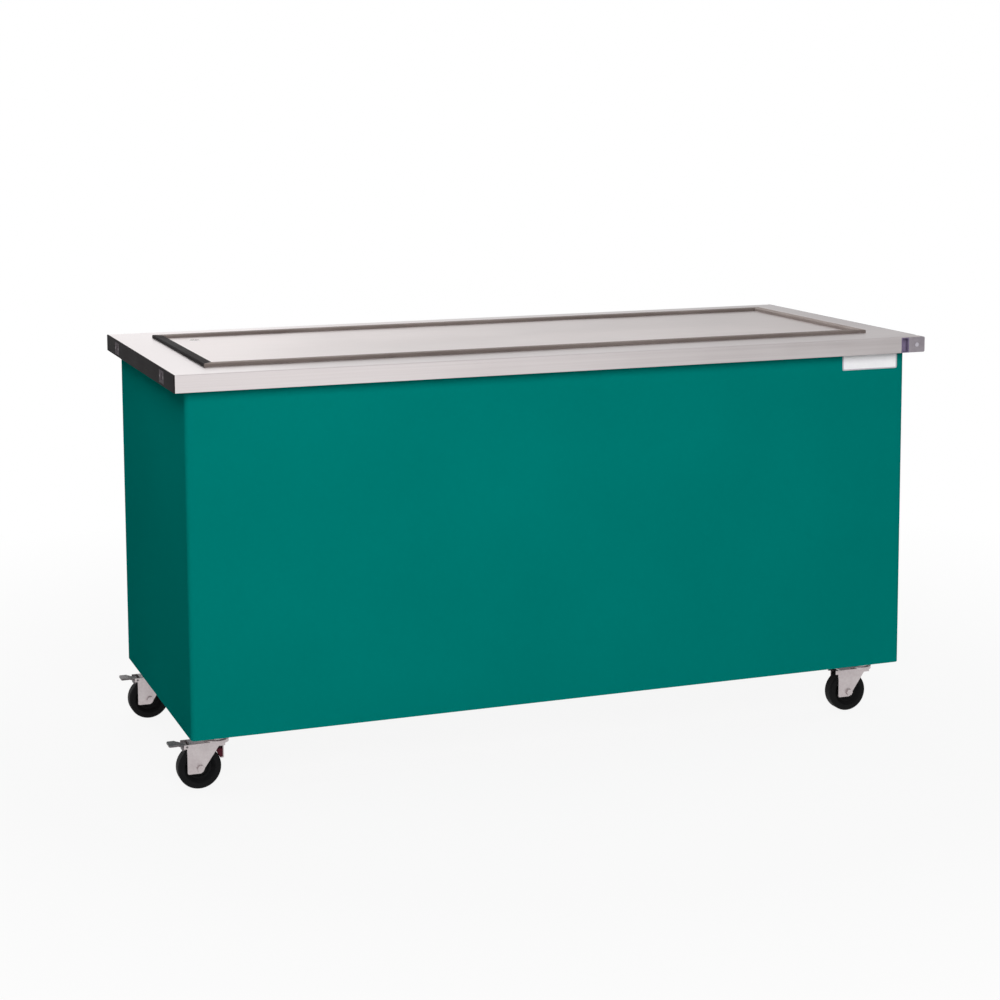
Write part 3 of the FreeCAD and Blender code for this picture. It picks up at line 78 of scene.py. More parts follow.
# grain is the fine pattern's size in mm along x, y and z, patch the size of broad changes of tone
def makeFinish(name, look):
    material, tree = emptyTree(name)
    place = addNode(tree, "ShaderNodeTexCoord").outputs["Object"]
    stretched = addNode(tree, "ShaderNodeMapping", {"Scale": [1000 / size for size in look["grain"]]},
                        {"Vector": place}).outputs["Vector"]
    if look.get("cells"):
        fine = addNode(tree, "ShaderNodeTexVoronoi", {"Scale": 1.0, "Randomness": 1.0},
                       {"Vector": stretched}).outputs[look["cells"]]
    else:
        fine = addNode(tree, "ShaderNodeTexNoise", {"Scale": 1.0, "Detail": 4.0, "Roughness": 0.6},
                       {"Vector": stretched}).outputs[0]
    broad = addNode(tree, "ShaderNodeTexNoise", {"Scale": 1000 / look["patch"], "Detail": 3.0},
                    {"Vector": place}).outputs[0]
    tone = addNode(tree, "ShaderNodeMix", {0: look["broadShare"]}, {2: fine, 3: broad}).outputs[0]
    colour = addNode(tree, "ShaderNodeValToRGB", {}, {"Fac": tone}, look["tones"]).outputs["Color"]
    rough = addNode(tree, "ShaderNodeMapRange",
                    {"From Min": noiseSpan[0], "From Max": noiseSpan[1],
                     "To Min": look["rough"][0], "To Max": look["rough"][1]},
                    {"Value": tone}).outputs["Result"]
    bump = addNode(tree, "ShaderNodeBump", {"Strength": look["bump"], "Distance": look["depth"] * mm},
                   {"Height": fine}).outputs["Normal"]
    # this patch of other tones carries painted light: a painted reflection or a painted highlight
    if look.get("second"):    # other tones within a radius of a point, measured along some axes only
        other = look["second"]
        centre = [value * mm for value in other["centre"]]
        apart = addNode(tree, "ShaderNodeVectorMath", {"operation": "SUBTRACT", 1: centre},
                        {0: place}).outputs[0]
        apart = addNode(tree, "ShaderNodeVectorMath", {"operation": "MULTIPLY", 1: other["along"]},
                        {0: apart}).outputs[0]
        away = addNode(tree, "ShaderNodeVectorMath", {"operation": "LENGTH"}, {0: apart}).outputs["Value"]
        inside = addNode(tree, "ShaderNodeMapRange",
                         {"From Min": (other["radius"] - softEdge) * mm,
                          "From Max": (other["radius"] + softEdge) * mm,
                          "To Min": 1.0, "To Max": 0.0}, {"Value": away}).outputs[0]
        others = addNode(tree, "ShaderNodeValToRGB", {}, {"Fac": tone}, other["tones"]).outputs["Color"]
        colour = addNode(tree, "ShaderNodeMix", {"data_type": "RGBA"},
                         {0: inside, 6: colour, 7: others}).outputs[2]
    if look.get("edge"):    # handled edges are rubbed to another tone, patchily
        eased = addNode(tree, "ShaderNodeBevel",
                        {"samples": 6, "Radius": look["edge"]["wide"] * mm}).outputs[0]
        plain = addNode(tree, "ShaderNodeNewGeometry").outputs["Normal"]
        agree = addNode(tree, "ShaderNodeVectorMath", {"operation": "DOT_PRODUCT"},
                        {0: eased, 1: plain}).outputs["Value"]
        rubbed = addNode(tree, "ShaderNodeMapRange",
                         {"From Min": rubSpan[0], "From Max": rubSpan[1], "To Min": 0.0, "To Max": 1.0},
                         {"Value": agree}).outputs[0]
        rubbed = addNode(tree, "ShaderNodeMath", {"operation": "MULTIPLY", "use_clamp": True},
                         {0: rubbed, 1: broad}).outputs[0]
        rubbedTone = linearColour(look["edge"]["tone"])
        colour = addNode(tree, "ShaderNodeMix", {"data_type": "RGBA", 7: rubbedTone},
                         {0: rubbed, 6: colour}).outputs[2]
    shader = addNode(tree, "ShaderNodeBsdfPrincipled", look["shader"],
                     {"Base Color": colour, "Roughness": rough, "Normal": bump})
    addNode(tree, "ShaderNodeOutputMaterial", {}, {"Surface": shader.outputs["BSDF"]})
    return material


finishes = {}

# brushed 304 sheet: pale, faintly warm, with long hairlines that stretch reflections along the sheet
# real hairlines are 0.1 mm wide, drawn at 4 mm so that they show
finishes["brushedDeckSteel"] = makeFinish("brushed stainless deck", {
    "grain": (420, 4, 4), "patch": 260, "broadShare": 0.45,
    "tones": [(0.25, "#CFC7C7"), (0.5, "#D9D2D2"), (0.75, "#E1DBDB")],
    "rough": (0.26, 0.38), "bump": 0.06, "depth": 0.05,
    "shader": {"Metallic": 1.0, "Anisotropic": 0.35}})

# the cold plate is the same sheet after years of scraping: duller, with shorter and blurred hairlines
finishes["coldPlateSteel"] = makeFinish("scoured stainless cold plate", {
    "grain": (240, 6, 6), "patch": 140, "broadShare": 0.55,
    "tones": [(0.25, "#D7CFCE"), (0.5, "#DED6D5"), (0.75, "#E5DEDD")],
    "rough": (0.33, 0.43), "bump": 0.05, "depth": 0.05,
    "shader": {"Metallic": 1.0, "Anisotropic": 0.2}})

# panels of the working side are cut with the grain upright
finishes["brushedPanelSteel"] = makeFinish("brushed stainless panel", {
    "grain": (4, 4, 380), "patch": 220, "broadShare": 0.4,
    "tones": [(0.25, "#C0BABA"), (0.5, "#C8C3C2"), (0.75, "#D0CBCA")],
    "rough": (0.28, 0.38), "bump": 0.05, "depth": 0.04,
    "shader": {"Metallic": 1.0, "Anisotropic": 0.35}})

# polished bar and pins: brighter and smoother than the sheet
finishes["polishedSteelBar"] = makeFinish("polished stainless bar", {
    "grain": (9, 9, 60), "patch": 60, "broadShare": 0.4,
    "tones": [(0.3, "#C4BFBE"), (0.7, "#DBD7D6")],
    "rough": (0.14, 0.26), "bump": 0.04, "depth": 0.04,
    "shader": {"Metallic": 1.0}})

# hot-dip galvanised sheet: angular spangles about 14 mm across, each a slightly different grey
finishes["galvanisedSheet"] = makeFinish("galvanised sheet with spangle", {
    "grain": (14, 14, 14), "patch": 90, "broadShare": 0.35, "cells": "Color",
    "tones": [(0.2, "#8E9499"), (0.5, "#A2A8AC"), (0.8, "#B7BCBF")],
    "edge": {"wide": 1.2, "tone": "#C9CDCF"},
    "rough": (0.34, 0.52), "bump": 0.012, "depth": 0.1,
    "shader": {"Metallic": 0.9}})

# gel-coated glass fibre moulding: even deep teal with a low sheen and a slight orange peel
# the real peel is 2 mm, drawn at 7 mm so that it shows
finishes["tealGelCoat"] = makeFinish("gel coated moulding in teal", {
    "grain": (7, 7, 7), "patch": 320, "broadShare": 0.7,
    "tones": [(0.25, "#00736C"), (0.5, "#00766F"), (0.75, "#007972")],
    "rough": (0.5, 0.6), "bump": 0.04, "depth": 0.15,
    "shader": {"Specular IOR Level": 0.0}})

# extruded rigid vinyl: near black, satin, with faint draw lines and a rubbed bloom
finishes["blackVinylStrip"] = makeFinish("extruded black vinyl strip", {
    "grain": (90, 90, 3), "patch": 110, "broadShare": 0.6,
    "tones": [(0.25, "#0F0D0E"), (0.5, "#151213"), (0.75, "#1D191B")],
    "edge": {"wide": 0.8, "tone": "#4A4446"},
    "rough": (0.5, 0.66), "bump": 0.08, "depth": 0.1,
    "shader": {"Specular IOR Level": 0.02}})

# thermal break strips along the plate: dark vinyl painted a lighter grey-brown, a painted reflection of the
# studio light on its glossy top
finishes["thermalBreakVinyl"] = makeFinish("thermal break vinyl", {
    "grain": (60, 5, 5), "patch": 180, "broadShare": 0.65,
    "tones": [(0.25, "#584F4C"), (0.5, "#6A615D"), (0.75, "#79706C")],
    "rough": (0.5, 0.66), "bump": 0.07, "depth": 0.1,
    "shader": {"Specular IOR Level": 0.12}})

# of the strips across its ends the left one shows the vinyl's own near black, the right one is painted chalky
# grey as a painted reflection
finishes["endBreakVinyl"] = makeFinish("thermal break vinyl at the ends", {
    "grain": (5, 60, 5), "patch": 140, "broadShare": 0.65,
    "tones": [(0.25, "#0C0A0A"), (0.5, "#131010"), (0.75, "#1C1818")],
    # the paler tones round the right end are a painted reflection on the same black vinyl
    "second": {"centre": (790, 0, 914), "along": (1, 0, 0), "radius": 400,
               "tones": [(0.25, "#7A706C"), (0.5, "#8C827E"), (0.75, "#9B918D")]},
    "rough": (0.5, 0.66), "bump": 0.07, "depth": 0.1,
    "shader": {"Specular IOR Level": 0.03}})

# glass-filled nylon of the keepers: dark grey, dry, with a faint swirl of fibre
finishes["glassFilledNylon"] = makeFinish("glass filled nylon", {
    "grain": (3, 9, 3), "patch": 30, "broadShare": 0.5,
    "tones": [(0.25, "#443F43"), (0.5, "#504A4E"), (0.75, "#5D575B")],
    "rough": (0.55, 0.7), "bump": 0.1, "depth": 0.1,
    "shader": {"Specular IOR Level": 0.03}})

# slate-violet moulding inside the latch pocket, matt and in shade
finishes["slatePlastic"] = makeFinish("slate moulded plastic", {
    "grain": (3, 3, 3), "patch": 20, "broadShare": 0.5,
    "tones": [(0.25, "#6B6079"), (0.5, "#796D88"), (0.75, "#877B97")],
    "rough": (0.5, 0.65), "bump": 0.08, "depth": 0.1,
    "shader": {"Specular IOR Level": 0.1}})

# cast zinc of the latch block: grey with a sandy skin, and a painted highlight on the button in its middle
finishes["castZinc"] = makeFinish("die cast zinc", {
    "grain": (2.5, 2.5, 2.5), "patch": 16, "broadShare": 0.5,
    "tones": [(0.25, "#938B93"), (0.5, "#A59EA5"), (0.75, "#B6AFB6")],
    # the paler disc is the painted highlight on the button
    "second": {"centre": (877.65, -381, 894), "along": (1, 0, 1), "radius": 5.0,
               "tones": [(0.3, "#C6C1CB"), (0.7, "#D6D2DA")]},
    "rough": (0.36, 0.5), "bump": 0.12, "depth": 0.08,
    "shader": {"Metallic": 0.9}})

# injection moulded ABS with a spark-eroded texture of about 1.5 mm, drawn at 2.5 mm
finishes["texturedBlackPlastic"] = makeFinish("textured black ABS", {
    "grain": (2.5, 2.5, 2.5), "patch": 40, "broadShare": 0.4,
    "tones": [(0.3, "#19191A"), (0.5, "#202021"), (0.75, "#29292B")],
    "edge": {"wide": 0.7, "tone": "#4B4B4D"},
    "rough": (0.38, 0.55), "bump": 0.12, "depth": 0.12,
    "shader": {"Specular IOR Level": 0.4}})

# phosphated steel, dark grey with a paler bloom and bare rubbed edges
finishes["darkPhosphateSteel"] = makeFinish("dark phosphated steel", {
    "grain": (4, 4, 4), "patch": 24, "broadShare": 0.5,
    "tones": [(0.3, "#575356"), (0.55, "#6E696B"), (0.72, "#8A8587")],
    "edge": {"wide": 1.0, "tone": "#A8A2A4"},
    "rough": (0.4, 0.6), "bump": 0.1, "depth": 0.1,
    "shader": {"Metallic": 0.55}})

# bright zinc plate over pressed steel: pale and faintly pink, cloudy, with soft reflections
finishes["zincPlate"] = makeFinish("bright zinc plate", {
    "grain": (6, 6, 6), "patch": 30, "broadShare": 0.55,
    "tones": [(0.25, "#AFA5A6"), (0.5, "#C2B9BA"), (0.75, "#D2CBCB")],
    "edge": {"wide": 0.8, "tone": "#E2DDDD"},
    "rough": (0.28, 0.46), "bump": 0.06, "depth": 0.06,
    "shader": {"Metallic": 0.95}})

# moulded solid rubber tyre: black, with grey scuffs from the floor and a matt grain
finishes["solidRubber"] = makeFinish("moulded solid rubber", {
    "grain": (3, 3, 3), "patch": 18, "broadShare": 0.55,
    "tones": [(0.3, "#0A0A0B"), (0.55, "#0F0F10"), (0.78, "#191819")],
    "rough": (0.55, 0.75), "bump": 0.14, "depth": 0.15,
    "shader": {"Specular IOR Level": 0.12}})

# moulded red rubber of the brake blocks, dark with ground-in dirt
finishes["redBrakeRubber"] = makeFinish("red brake rubber", {
    "grain": (2.5, 2.5, 2.5), "patch": 9, "broadShare": 0.55,
    "tones": [(0.3, "#33101A"), (0.5, "#45151F"), (0.72, "#571B25")],
    "rough": (0.55, 0.75), "bump": 0.12, "depth": 0.12,
    "shader": {"Specular IOR Level": 0.2}})

# soft neoprene of the feet, paler with bloom
finishes["neoprene"] = makeFinish("neoprene", {
    "grain": (3, 3, 3), "patch": 14, "broadShare": 0.5,
    "tones": [(0.3, "#1B1B1C"), (0.7, "#2C2C2D")],
    "rough": (0.62, 0.8), "bump": 0.12, "depth": 0.1,
    "shader": {"Specular IOR Level": 0.3}})

# poured polyurethane foam: cream, cut face of small burst cells, yellower in patches
finishes["pouredFoam"] = makeFinish("poured polyurethane foam", {
    "grain": (5, 5, 5), "patch": 120, "broadShare": 0.5, "cells": "Distance",
    "tones": [(0.2, "#C9B684"), (0.5, "#DCCB9C"), (0.8, "#E8DCB6")],
    "rough": (0.8, 0.95), "bump": 0.5, "depth": 0.8,
    "shader": {"Specular IOR Level": 0.2}})

# drawn copper tube: salmon where it is clean, browner in heat-stained patches
finishes["drawnCopper"] = makeFinish("drawn copper tube", {
    "grain": (5, 5, 5), "patch": 55, "broadShare": 0.75,
    "tones": [(0.25, "#8A4B33"), (0.5, "#B56D4E"), (0.72, "#CF8A68")],
    "rough": (0.24, 0.42), "bump": 0.05, "depth": 0.05,
    "shader": {"Metallic": 1.0}})

# forged brass with a tumbled skin
finishes["forgedBrass"] = makeFinish("forged brass", {
    "grain": (3, 3, 3), "patch": 26, "broadShare": 0.5,
    "tones": [(0.25, "#9C7A3C"), (0.5, "#B8954F"), (0.75, "#CCAD68")],
    "rough": (0.26, 0.42), "bump": 0.1, "depth": 0.08,
    "shader": {"Metallic": 1.0}})

# dipped vinyl sleeve: soft red, slightly lumpy
finishes["dippedRedVinyl"] = makeFinish("dipped red vinyl", {
    "grain": (8, 8, 8), "patch": 30, "broadShare": 0.5,
    "tones": [(0.3, "#8E1D18"), (0.6, "#A8251E"), (0.8, "#B93028")],
    "rough": (0.3, 0.42), "bump": 0.1, "depth": 0.2,
    "shader": {"Specular IOR Level": 0.5}})

# sprayed black enamel on drawn steel: satin with orange peel, dusty on broad patches
finishes["blackEnamel"] = makeFinish("sprayed black enamel", {
    "grain": (5, 5, 5), "patch": 80, "broadShare": 0.65,
    "tones": [(0.3, "#141415"), (0.55, "#1C1C1D"), (0.78, "#2D2C2B")],
    "edge": {"wide": 1.0, "tone": "#55524F"},
    "rough": (0.3, 0.5), "bump": 0.1, "depth": 0.12,
    "shader": {"Specular IOR Level": 0.5, "Coat Weight": 0.2, "Coat Roughness": 0.25}})

# mill finish aluminium: fins and pressed blades, whitish grey with faint rolling lines
finishes["millAluminium"] = makeFinish("mill finish aluminium", {
    "grain": (3, 40, 40), "patch": 60, "broadShare": 0.5,
    "tones": [(0.25, "#A9ABAD"), (0.5, "#BCBEC0"), (0.75, "#CDCFD0")],
    "rough": (0.32, 0.5), "bump": 0.06, "depth": 0.06,
    "shader": {"Metallic": 0.95}})

# stove enamelled plate: clean white with a hint of blue and a soft gloss
finishes["whiteEnamelPlate"] = makeFinish("white enamelled plate", {
    "grain": (5, 5, 5), "patch": 40, "broadShare": 0.6,
    "tones": [(0.3, "#EFEFF2"), (0.7, "#F7F7F9")],
    "rough": (0.28, 0.36), "bump": 0.03, "depth": 0.05,
    "shader": {"Specular IOR Level": 0.4}})

# its rim is painted a soft light grey as painted shade round the plate's raised edge
finishes["greyPlateRim"] = makeFinish("light grey plate rim", {
    "grain": (4, 4, 4), "patch": 30, "broadShare": 0.5,
    "tones": [(0.3, "#B7B7BD"), (0.7, "#C6C6CC")],
    "rough": (0.36, 0.46), "bump": 0.03, "depth": 0.05,
    "shader": {"Specular IOR Level": 0.3}})

# screen-printed black ink, slightly broken up
finishes["printedInk"] = makeFinish("screen printed ink", {
    "grain": (0.8, 0.8, 0.8), "patch": 8, "broadShare": 0.4,
    "tones": [(0.25, "#2B2B2C"), (0.7, "#1F1F20")],
    "rough": (0.5, 0.65), "bump": 0.05, "depth": 0.02,
    "shader": {"Specular IOR Level": 0.3}})

# white paint filling the knob's pointer line, matt and a little dirty
finishes["whitePaintFill"] = makeFinish("white paint fill", {
    "grain": (1.2, 1.2, 1.2), "patch": 5, "broadShare": 0.5,
    "tones": [(0.3, "#CFCDC8"), (0.7, "#E6E4E0")],
    "rough": (0.5, 0.65), "bump": 0.05, "depth": 0.03,
    "shader": {"Specular IOR Level": 0.3}})
print("finishes made:", len(finishes))


wornBy = {
    "brushedDeckSteel": ["counter_deck", "rear_header", "storage_floor"],
    "coldPlateSteel": ["frost_plate"],
    "brushedPanelSteel": ["compressor_door", "control_plate", "partition", "hinge_leaves_fixed",
                          "hinge_leaves_door"],
    "polishedSteelBar": ["door_pull", "hinge_pins", "drain_pipe"],
    "galvanisedSheet": ["insulation_pan", "base_frame", "corner_posts", "unit_base"],
    "tealGelCoat": ["body_shell"],
    "blackVinylStrip": ["end_trim_left", "end_trim_right"],
    "thermalBreakVinyl": ["breaker_long"],
    "endBreakVinyl": ["breaker_short"],
    "glassFilledNylon": ["lineup_keepers"],
    "slatePlastic": ["lineup_pocket"],
    "castZinc": ["lineup_block"],
    "texturedBlackPlastic": ["door_catch", "switch_bezel", "switch_rocker", "thermostat_body",
                             "thermostat_knob", "cord_gland"],
    "darkPhosphateSteel": ["brake_pedal_front_left", "brake_pedal_back_left"],
    "zincPlate": ["caster_plates"],
    "neoprene": ["compressor_grommets"],
    "pouredFoam": ["foam_slab"],
    "drawnCopper": ["evaporator_coil", "filter_drier", "liquid_line", "suction_line", "discharge_line"],
    "forgedBrass": ["drain_valve_body"],
    "dippedRedVinyl": ["drain_lever"],
    "blackEnamel": ["compressor", "fan_shroud", "fan_motor"],
    "millAluminium": ["condenser_coil", "fan_blade"],
}
for corner in ("front_left", "front_right", "back_left", "back_right"):
    wornBy["zincPlate"] += ["caster_fork_" + corner, "caster_axle_" + corner]
    wornBy.setdefault("solidRubber", []).append("caster_wheel_" + corner)

dressed = 0
for finish, nodes in wornBy.items():
    for node in nodes:
        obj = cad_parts[node]
        if not obj.material_slots:
            obj.data.materials.append(finishes[finish])
        for materialSlot in obj.material_slots:
            materialSlot.material = finishes[finish]
        dressed += 1
print("nodes dressed:", dressed)


def deselectAll():
    if bpy.context.object and bpy.context.object.mode != "OBJECT":
        bpy.ops.object.mode_set(mode="OBJECT")
    bpy.ops.object.select_all(action="DESELECT")


def makeActive(obj):
    deselectAll()
    obj.select_set(True)
    bpy.context.view_layer.objects.active = obj


touch = 0.01    # mm within which two places count as one
square = 0.9    # share of a normal along an axis that counts as facing it


# leaves edit mode on, with the faces that pass the test selected
def pickFaces(obj, test):
    bpy.ops.object.mode_set(mode="EDIT")
    bpy.ops.mesh.select_mode(type="FACE")
    bpy.ops.mesh.select_all(action="DESELECT")
    bpy.ops.object.mode_set(mode="OBJECT")
    for face in obj.data.polygons:
        face.select = test(face.center / mm, face.normal)
    bpy.ops.object.mode_set(mode="EDIT")


def pickEdges(obj, test):
    bpy.ops.object.mode_set(mode="EDIT")
    bpy.ops.mesh.select_mode(type="EDGE")
    bpy.ops.mesh.select_all(action="DESELECT")
    bpy.ops.object.mode_set(mode="OBJECT")
    points = obj.data.vertices
    for edge in obj.data.edges:
        edge.select = test(points[edge.vertices[0]].co / mm, points[edge.vertices[1]].co / mm)
    bpy.ops.object.mode_set(mode="EDIT")


def applyPlace():
    bpy.ops.object.transform_apply(location=True, rotation=True, scale=True)


smoothUpTo = math.radians(35)    # edges sharper than this stay crisp


def finishPiece(obj, name, material):
    bpy.ops.object.mode_set(mode="OBJECT")
    makeActive(obj)
    applyPlace()
    bpy.ops.object.shade_smooth_by_angle(angle=smoothUpTo)
    obj.name = name
    obj.data.name = name
    obj.data.materials.clear()
    obj.data.materials.append(material)


# a copy with its own mesh at each spot, turned from +z to the way it faces
def placeCopies(source, spots, turn, body):
    for number, spot in enumerate(spots, 1):
        makeActive(source)
        bpy.ops.object.duplicate(linked=False)
        copied = bpy.context.object
        copied.rotation_euler = turn
        copied.location = [value * mm for value in spot]
        applyPlace()
        copied.name = f"{source.name}_{number:02d}"
        copied.data.name = copied.name
        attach(copied, body)


def modelBlock(size, centre):
    deselectAll()
    bpy.ops.mesh.primitive_cube_add(size=1, location=[value * mm for value in centre])
    block = bpy.context.object
    block.scale = [value * mm for value in size]
    applyPlace()
    return block


def cutAway(obj, cutter):
    makeActive(obj)
    bpy.ops.object.modifier_add(type="BOOLEAN")
    taken = obj.modifiers[-1]
    taken.operation = "DIFFERENCE"
    taken.solver = "EXACT"
    taken.object = cutter
    bpy.ops.object.modifier_apply(modifier=taken.name)
    bpy.data.objects.remove(cutter)


facingUp = (0, 0, 0)
facingDown = (math.pi, 0, 0)
facingBack = (-math.pi / 2, 0, 0)
readFromBack = (math.pi / 2, 0, math.pi)
facingLeft = (0, -math.pi / 2, 0)

# bare white plate under the deck's front edge, a raised rim round a flat field
namePlate = {"left": 695, "right": 840, "low": 837.5, "high": 874.5, "back": -353, "thick": 1.6,
             "corner": 3.0, "rim": 2.6, "step": 0.4, "sunk": 0.5, "ease": 0.25}


def modelNamePlate(look):
    plate = modelBlock((look["right"] - look["left"], look["thick"], look["high"] - look["low"]),
                       ((look["left"] + look["right"]) / 2, look["back"] - look["thick"] / 2,
                        (look["low"] + look["high"]) / 2))
    pickEdges(plate, lambda a, b: abs(a.y - b.y) > touch)
    bpy.ops.mesh.bevel(offset=look["corner"] * mm, segments=5, affect="EDGES")
    pickFaces(plate, lambda centre, normal: normal.y < -square)
    bpy.ops.mesh.inset(thickness=look["rim"] * mm)
    bpy.ops.mesh.inset(thickness=look["step"] * mm, depth=-look["sunk"] * mm)
    front = look["back"] - look["thick"]
    pickEdges(plate, lambda a, b: abs(a.y - front) < touch and abs(b.y - front) < touch)
    bpy.ops.mesh.bevel(offset=look["ease"] * mm, segments=2, affect="EDGES")
    # the rim's grey is painted shade; the sunk field gets the white enamel
    finishPiece(plate, "namePlate", finishes["greyPlateRim"])
    plate.data.materials.append(finishes["whiteEnamelPlate"])
    for face in plate.data.polygons:
        if face.center.y / mm > front + look["sunk"] - touch and face.normal.y < -square:
            face.material_index = 1
    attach(plate, "cabinet")


modelNamePlate(namePlate)
print("name plate made")

# hexagon head with a plain washer under it, sizes in mm
casterBolt = {"across": 13, "head": 3.6, "washer": 8.6, "washerThick": 1.2, "chamfer": 0.7}
unitBolt = {"across": 13, "head": 5.5, "washer": 9.0, "washerThick": 1.6, "chamfer": 0.9}
footNut = {"across": 10, "head": 5.0, "washer": 8.0, "washerThick": 1.2, "chamfer": 0.7}
hexEase = {"washer": 0.3, "corner": 0.5, "land": 1.8, "within": 0.3, "sunk": 0.2}    # land is in chamfers


def modelHexHead(name, look, material):
    deselectAll()
    bpy.ops.mesh.primitive_cylinder_add(vertices=24, radius=look["washer"] * mm,
                                        depth=look["washerThick"] * mm,
                                        location=(0, 0, look["washerThick"] / 2 * mm))
    washer = bpy.context.object
    applyPlace()
    pickEdges(washer, lambda a, b: min(a.z, b.z) > touch)
    bpy.ops.mesh.bevel(offset=hexEase["washer"] * mm, segments=2, affect="EDGES")
    bpy.ops.object.mode_set(mode="OBJECT")
    deselectAll()
    top = look["washerThick"] + look["head"]
    high = look["head"] + hexEase["sunk"]    # sunk into the washer so that the two join
    bpy.ops.mesh.primitive_cylinder_add(vertices=6, radius=look["across"] / math.sqrt(3) * mm,
                                        depth=high * mm, location=(0, 0, (top - high / 2) * mm))
    head = bpy.context.object
    applyPlace()
    pickEdges(head, lambda a, b: abs(a.z - b.z) > touch)
    bpy.ops.mesh.bevel(offset=hexEase["corner"] * mm, segments=2, affect="EDGES")
    pickFaces(head, lambda centre, normal: normal.z > square)
    bpy.ops.mesh.inset(thickness=look["chamfer"] * hexEase["land"] * mm)
    pickEdges(head, lambda a, b: min(a.z, b.z) > top - touch
              and min(a.xy.length, b.xy.length) > look["across"] / 2 - hexEase["within"])
    bpy.ops.mesh.bevel(offset=look["chamfer"] * mm, segments=2, affect="EDGES")
    bpy.ops.object.mode_set(mode="OBJECT")
    head.select_set(True)
    washer.select_set(True)
    bpy.context.view_layer.objects.active = washer
    bpy.ops.object.join()
    finishPiece(washer, name, material)
    return washer


# domed screw head with a cross recess
panScrew = {"radius": 4.2, "head": 2.4, "dome": 1.5, "recess": 5.0, "recessWide": 1.1, "recessDeep": 1.3}
smallScrew = {"radius": 2.9, "head": 1.6, "dome": 1.0, "recess": 3.6, "recessWide": 0.8, "recessDeep": 0.9}
flushScrew = {"radius": 3.2, "head": 0.6, "dome": 0.12, "recess": 4.0, "recessWide": 0.9,
              "recessDeep": 0.45}


def modelScrewHead(name, look, material):
    deselectAll()
    bpy.ops.mesh.primitive_cylinder_add(vertices=28, radius=look["radius"] * mm, depth=look["head"] * mm,
                                        location=(0, 0, look["head"] / 2 * mm))
    screw = bpy.context.object
    applyPlace()
    pickEdges(screw, lambda a, b: min(a.z, b.z) > look["head"] - touch)
    bpy.ops.mesh.bevel(offset=look["dome"] * mm, segments=4, affect="EDGES")
    bpy.ops.object.mode_set(mode="OBJECT")
    for sides in ((look["recess"], look["recessWide"]), (look["recessWide"], look["recess"])):
        cutAway(screw, modelBlock((*sides, 2 * look["recessDeep"]), (0, 0, look["head"])))
    finishPiece(screw, name, material)
    return screw


boltPlaces = {"swivelX": (-793, 793), "swivelY": (-285, 265), "dx": (-36, 36), "dy": (-22, 22), "under": 124}
nutPlaces = {"x": (517, 667), "y": (-85, 65), "on": 204}
unitPlaces = {"x": (407, 777), "y": (-94, 290), "on": 188}
bolt = modelHexHead("casterBolt", casterBolt, finishes["zincPlate"])
placeCopies(bolt, [(x + dx, y + dy, boltPlaces["under"])
                   for x in boltPlaces["swivelX"] for y in boltPlaces["swivelY"]
                   for dx in boltPlaces["dx"] for dy in boltPlaces["dy"]], facingDown, "cabinet")
bpy.data.objects.remove(bolt)

nut = modelHexHead("compressorNut", footNut, finishes["zincPlate"])
placeCopies(nut, [(x, y, nutPlaces["on"]) for x in nutPlaces["x"] for y in nutPlaces["y"]], facingUp,
            "cabinet")
bpy.data.objects.remove(nut)

bolt = modelHexHead("unitBolt", unitBolt, finishes["zincPlate"])
placeCopies(bolt, [(x, y, unitPlaces["on"]) for x in unitPlaces["x"] for y in unitPlaces["y"]], facingUp,
            "cabinet")
bpy.data.objects.remove(bolt)
print("bolts and nuts made")

# the right return's screws keep clear of the hinge leaves
hingePlaces = {"frameX": 843, "doorX": 813, "y": 355, "levels": (274, 688), "rise": (-18, 18)}
returnPlaces = {"leftX": -846, "rightX": 846, "y": 353, "left": (200, 390, 580, 770),
                "right": (190, 380, 580, 780)}
screw = modelScrewHead("hingeScrew", panScrew, finishes["polishedSteelBar"])
hingeLevels = [level + rise for level in hingePlaces["levels"] for rise in hingePlaces["rise"]]
placeCopies(screw, [(hingePlaces["frameX"], hingePlaces["y"], z) for z in hingeLevels], facingBack, "cabinet")
screw.name = "doorHingeScrew"
placeCopies(screw, [(hingePlaces["doorX"], hingePlaces["y"], z) for z in hingeLevels], facingBack, "door")
screw.name = "returnScrew"
placeCopies(screw, [(returnPlaces["leftX"], returnPlaces["y"], z) for z in returnPlaces["left"]]
            + [(returnPlaces["rightX"], returnPlaces["y"], z) for z in returnPlaces["right"]], facingBack,
            "cabinet")
bpy.data.objects.remove(screw)

controlPlaces = {"x": (437, 623), "y": 354.5, "z": (816, 862)}
screw = modelScrewHead("controlScrew", smallScrew, finishes["polishedSteelBar"])
placeCopies(screw, [(x, controlPlaces["y"], z) for x in controlPlaces["x"] for z in controlPlaces["z"]],
            facingBack, "cabinet")
bpy.data.objects.remove(screw)

keeperPlaces = {"x": -888.35, "y": (-255, 255), "dy": (-17, 17), "z": 895}
screw = modelScrewHead("keeperScrew", flushScrew, finishes["darkPhosphateSteel"])
placeCopies(screw, [(keeperPlaces["x"], y + dy, keeperPlaces["z"])
                    for y in keeperPlaces["y"] for dy in keeperPlaces["dy"]],
            facingLeft, "cabinet")
bpy.data.objects.remove(screw)
print("screws made")

# pressed strainer that rests on the cross bars in the drain's mouth, bored with a ring of small holes
strainer = {"x": -718, "y": 193, "foot": 911.0, "top": 913.6, "radius": 10.2, "sheet": 1.2, "ease": 0.5,
            "hole": 1.5, "ring": 5.9, "ringHoles": 6}


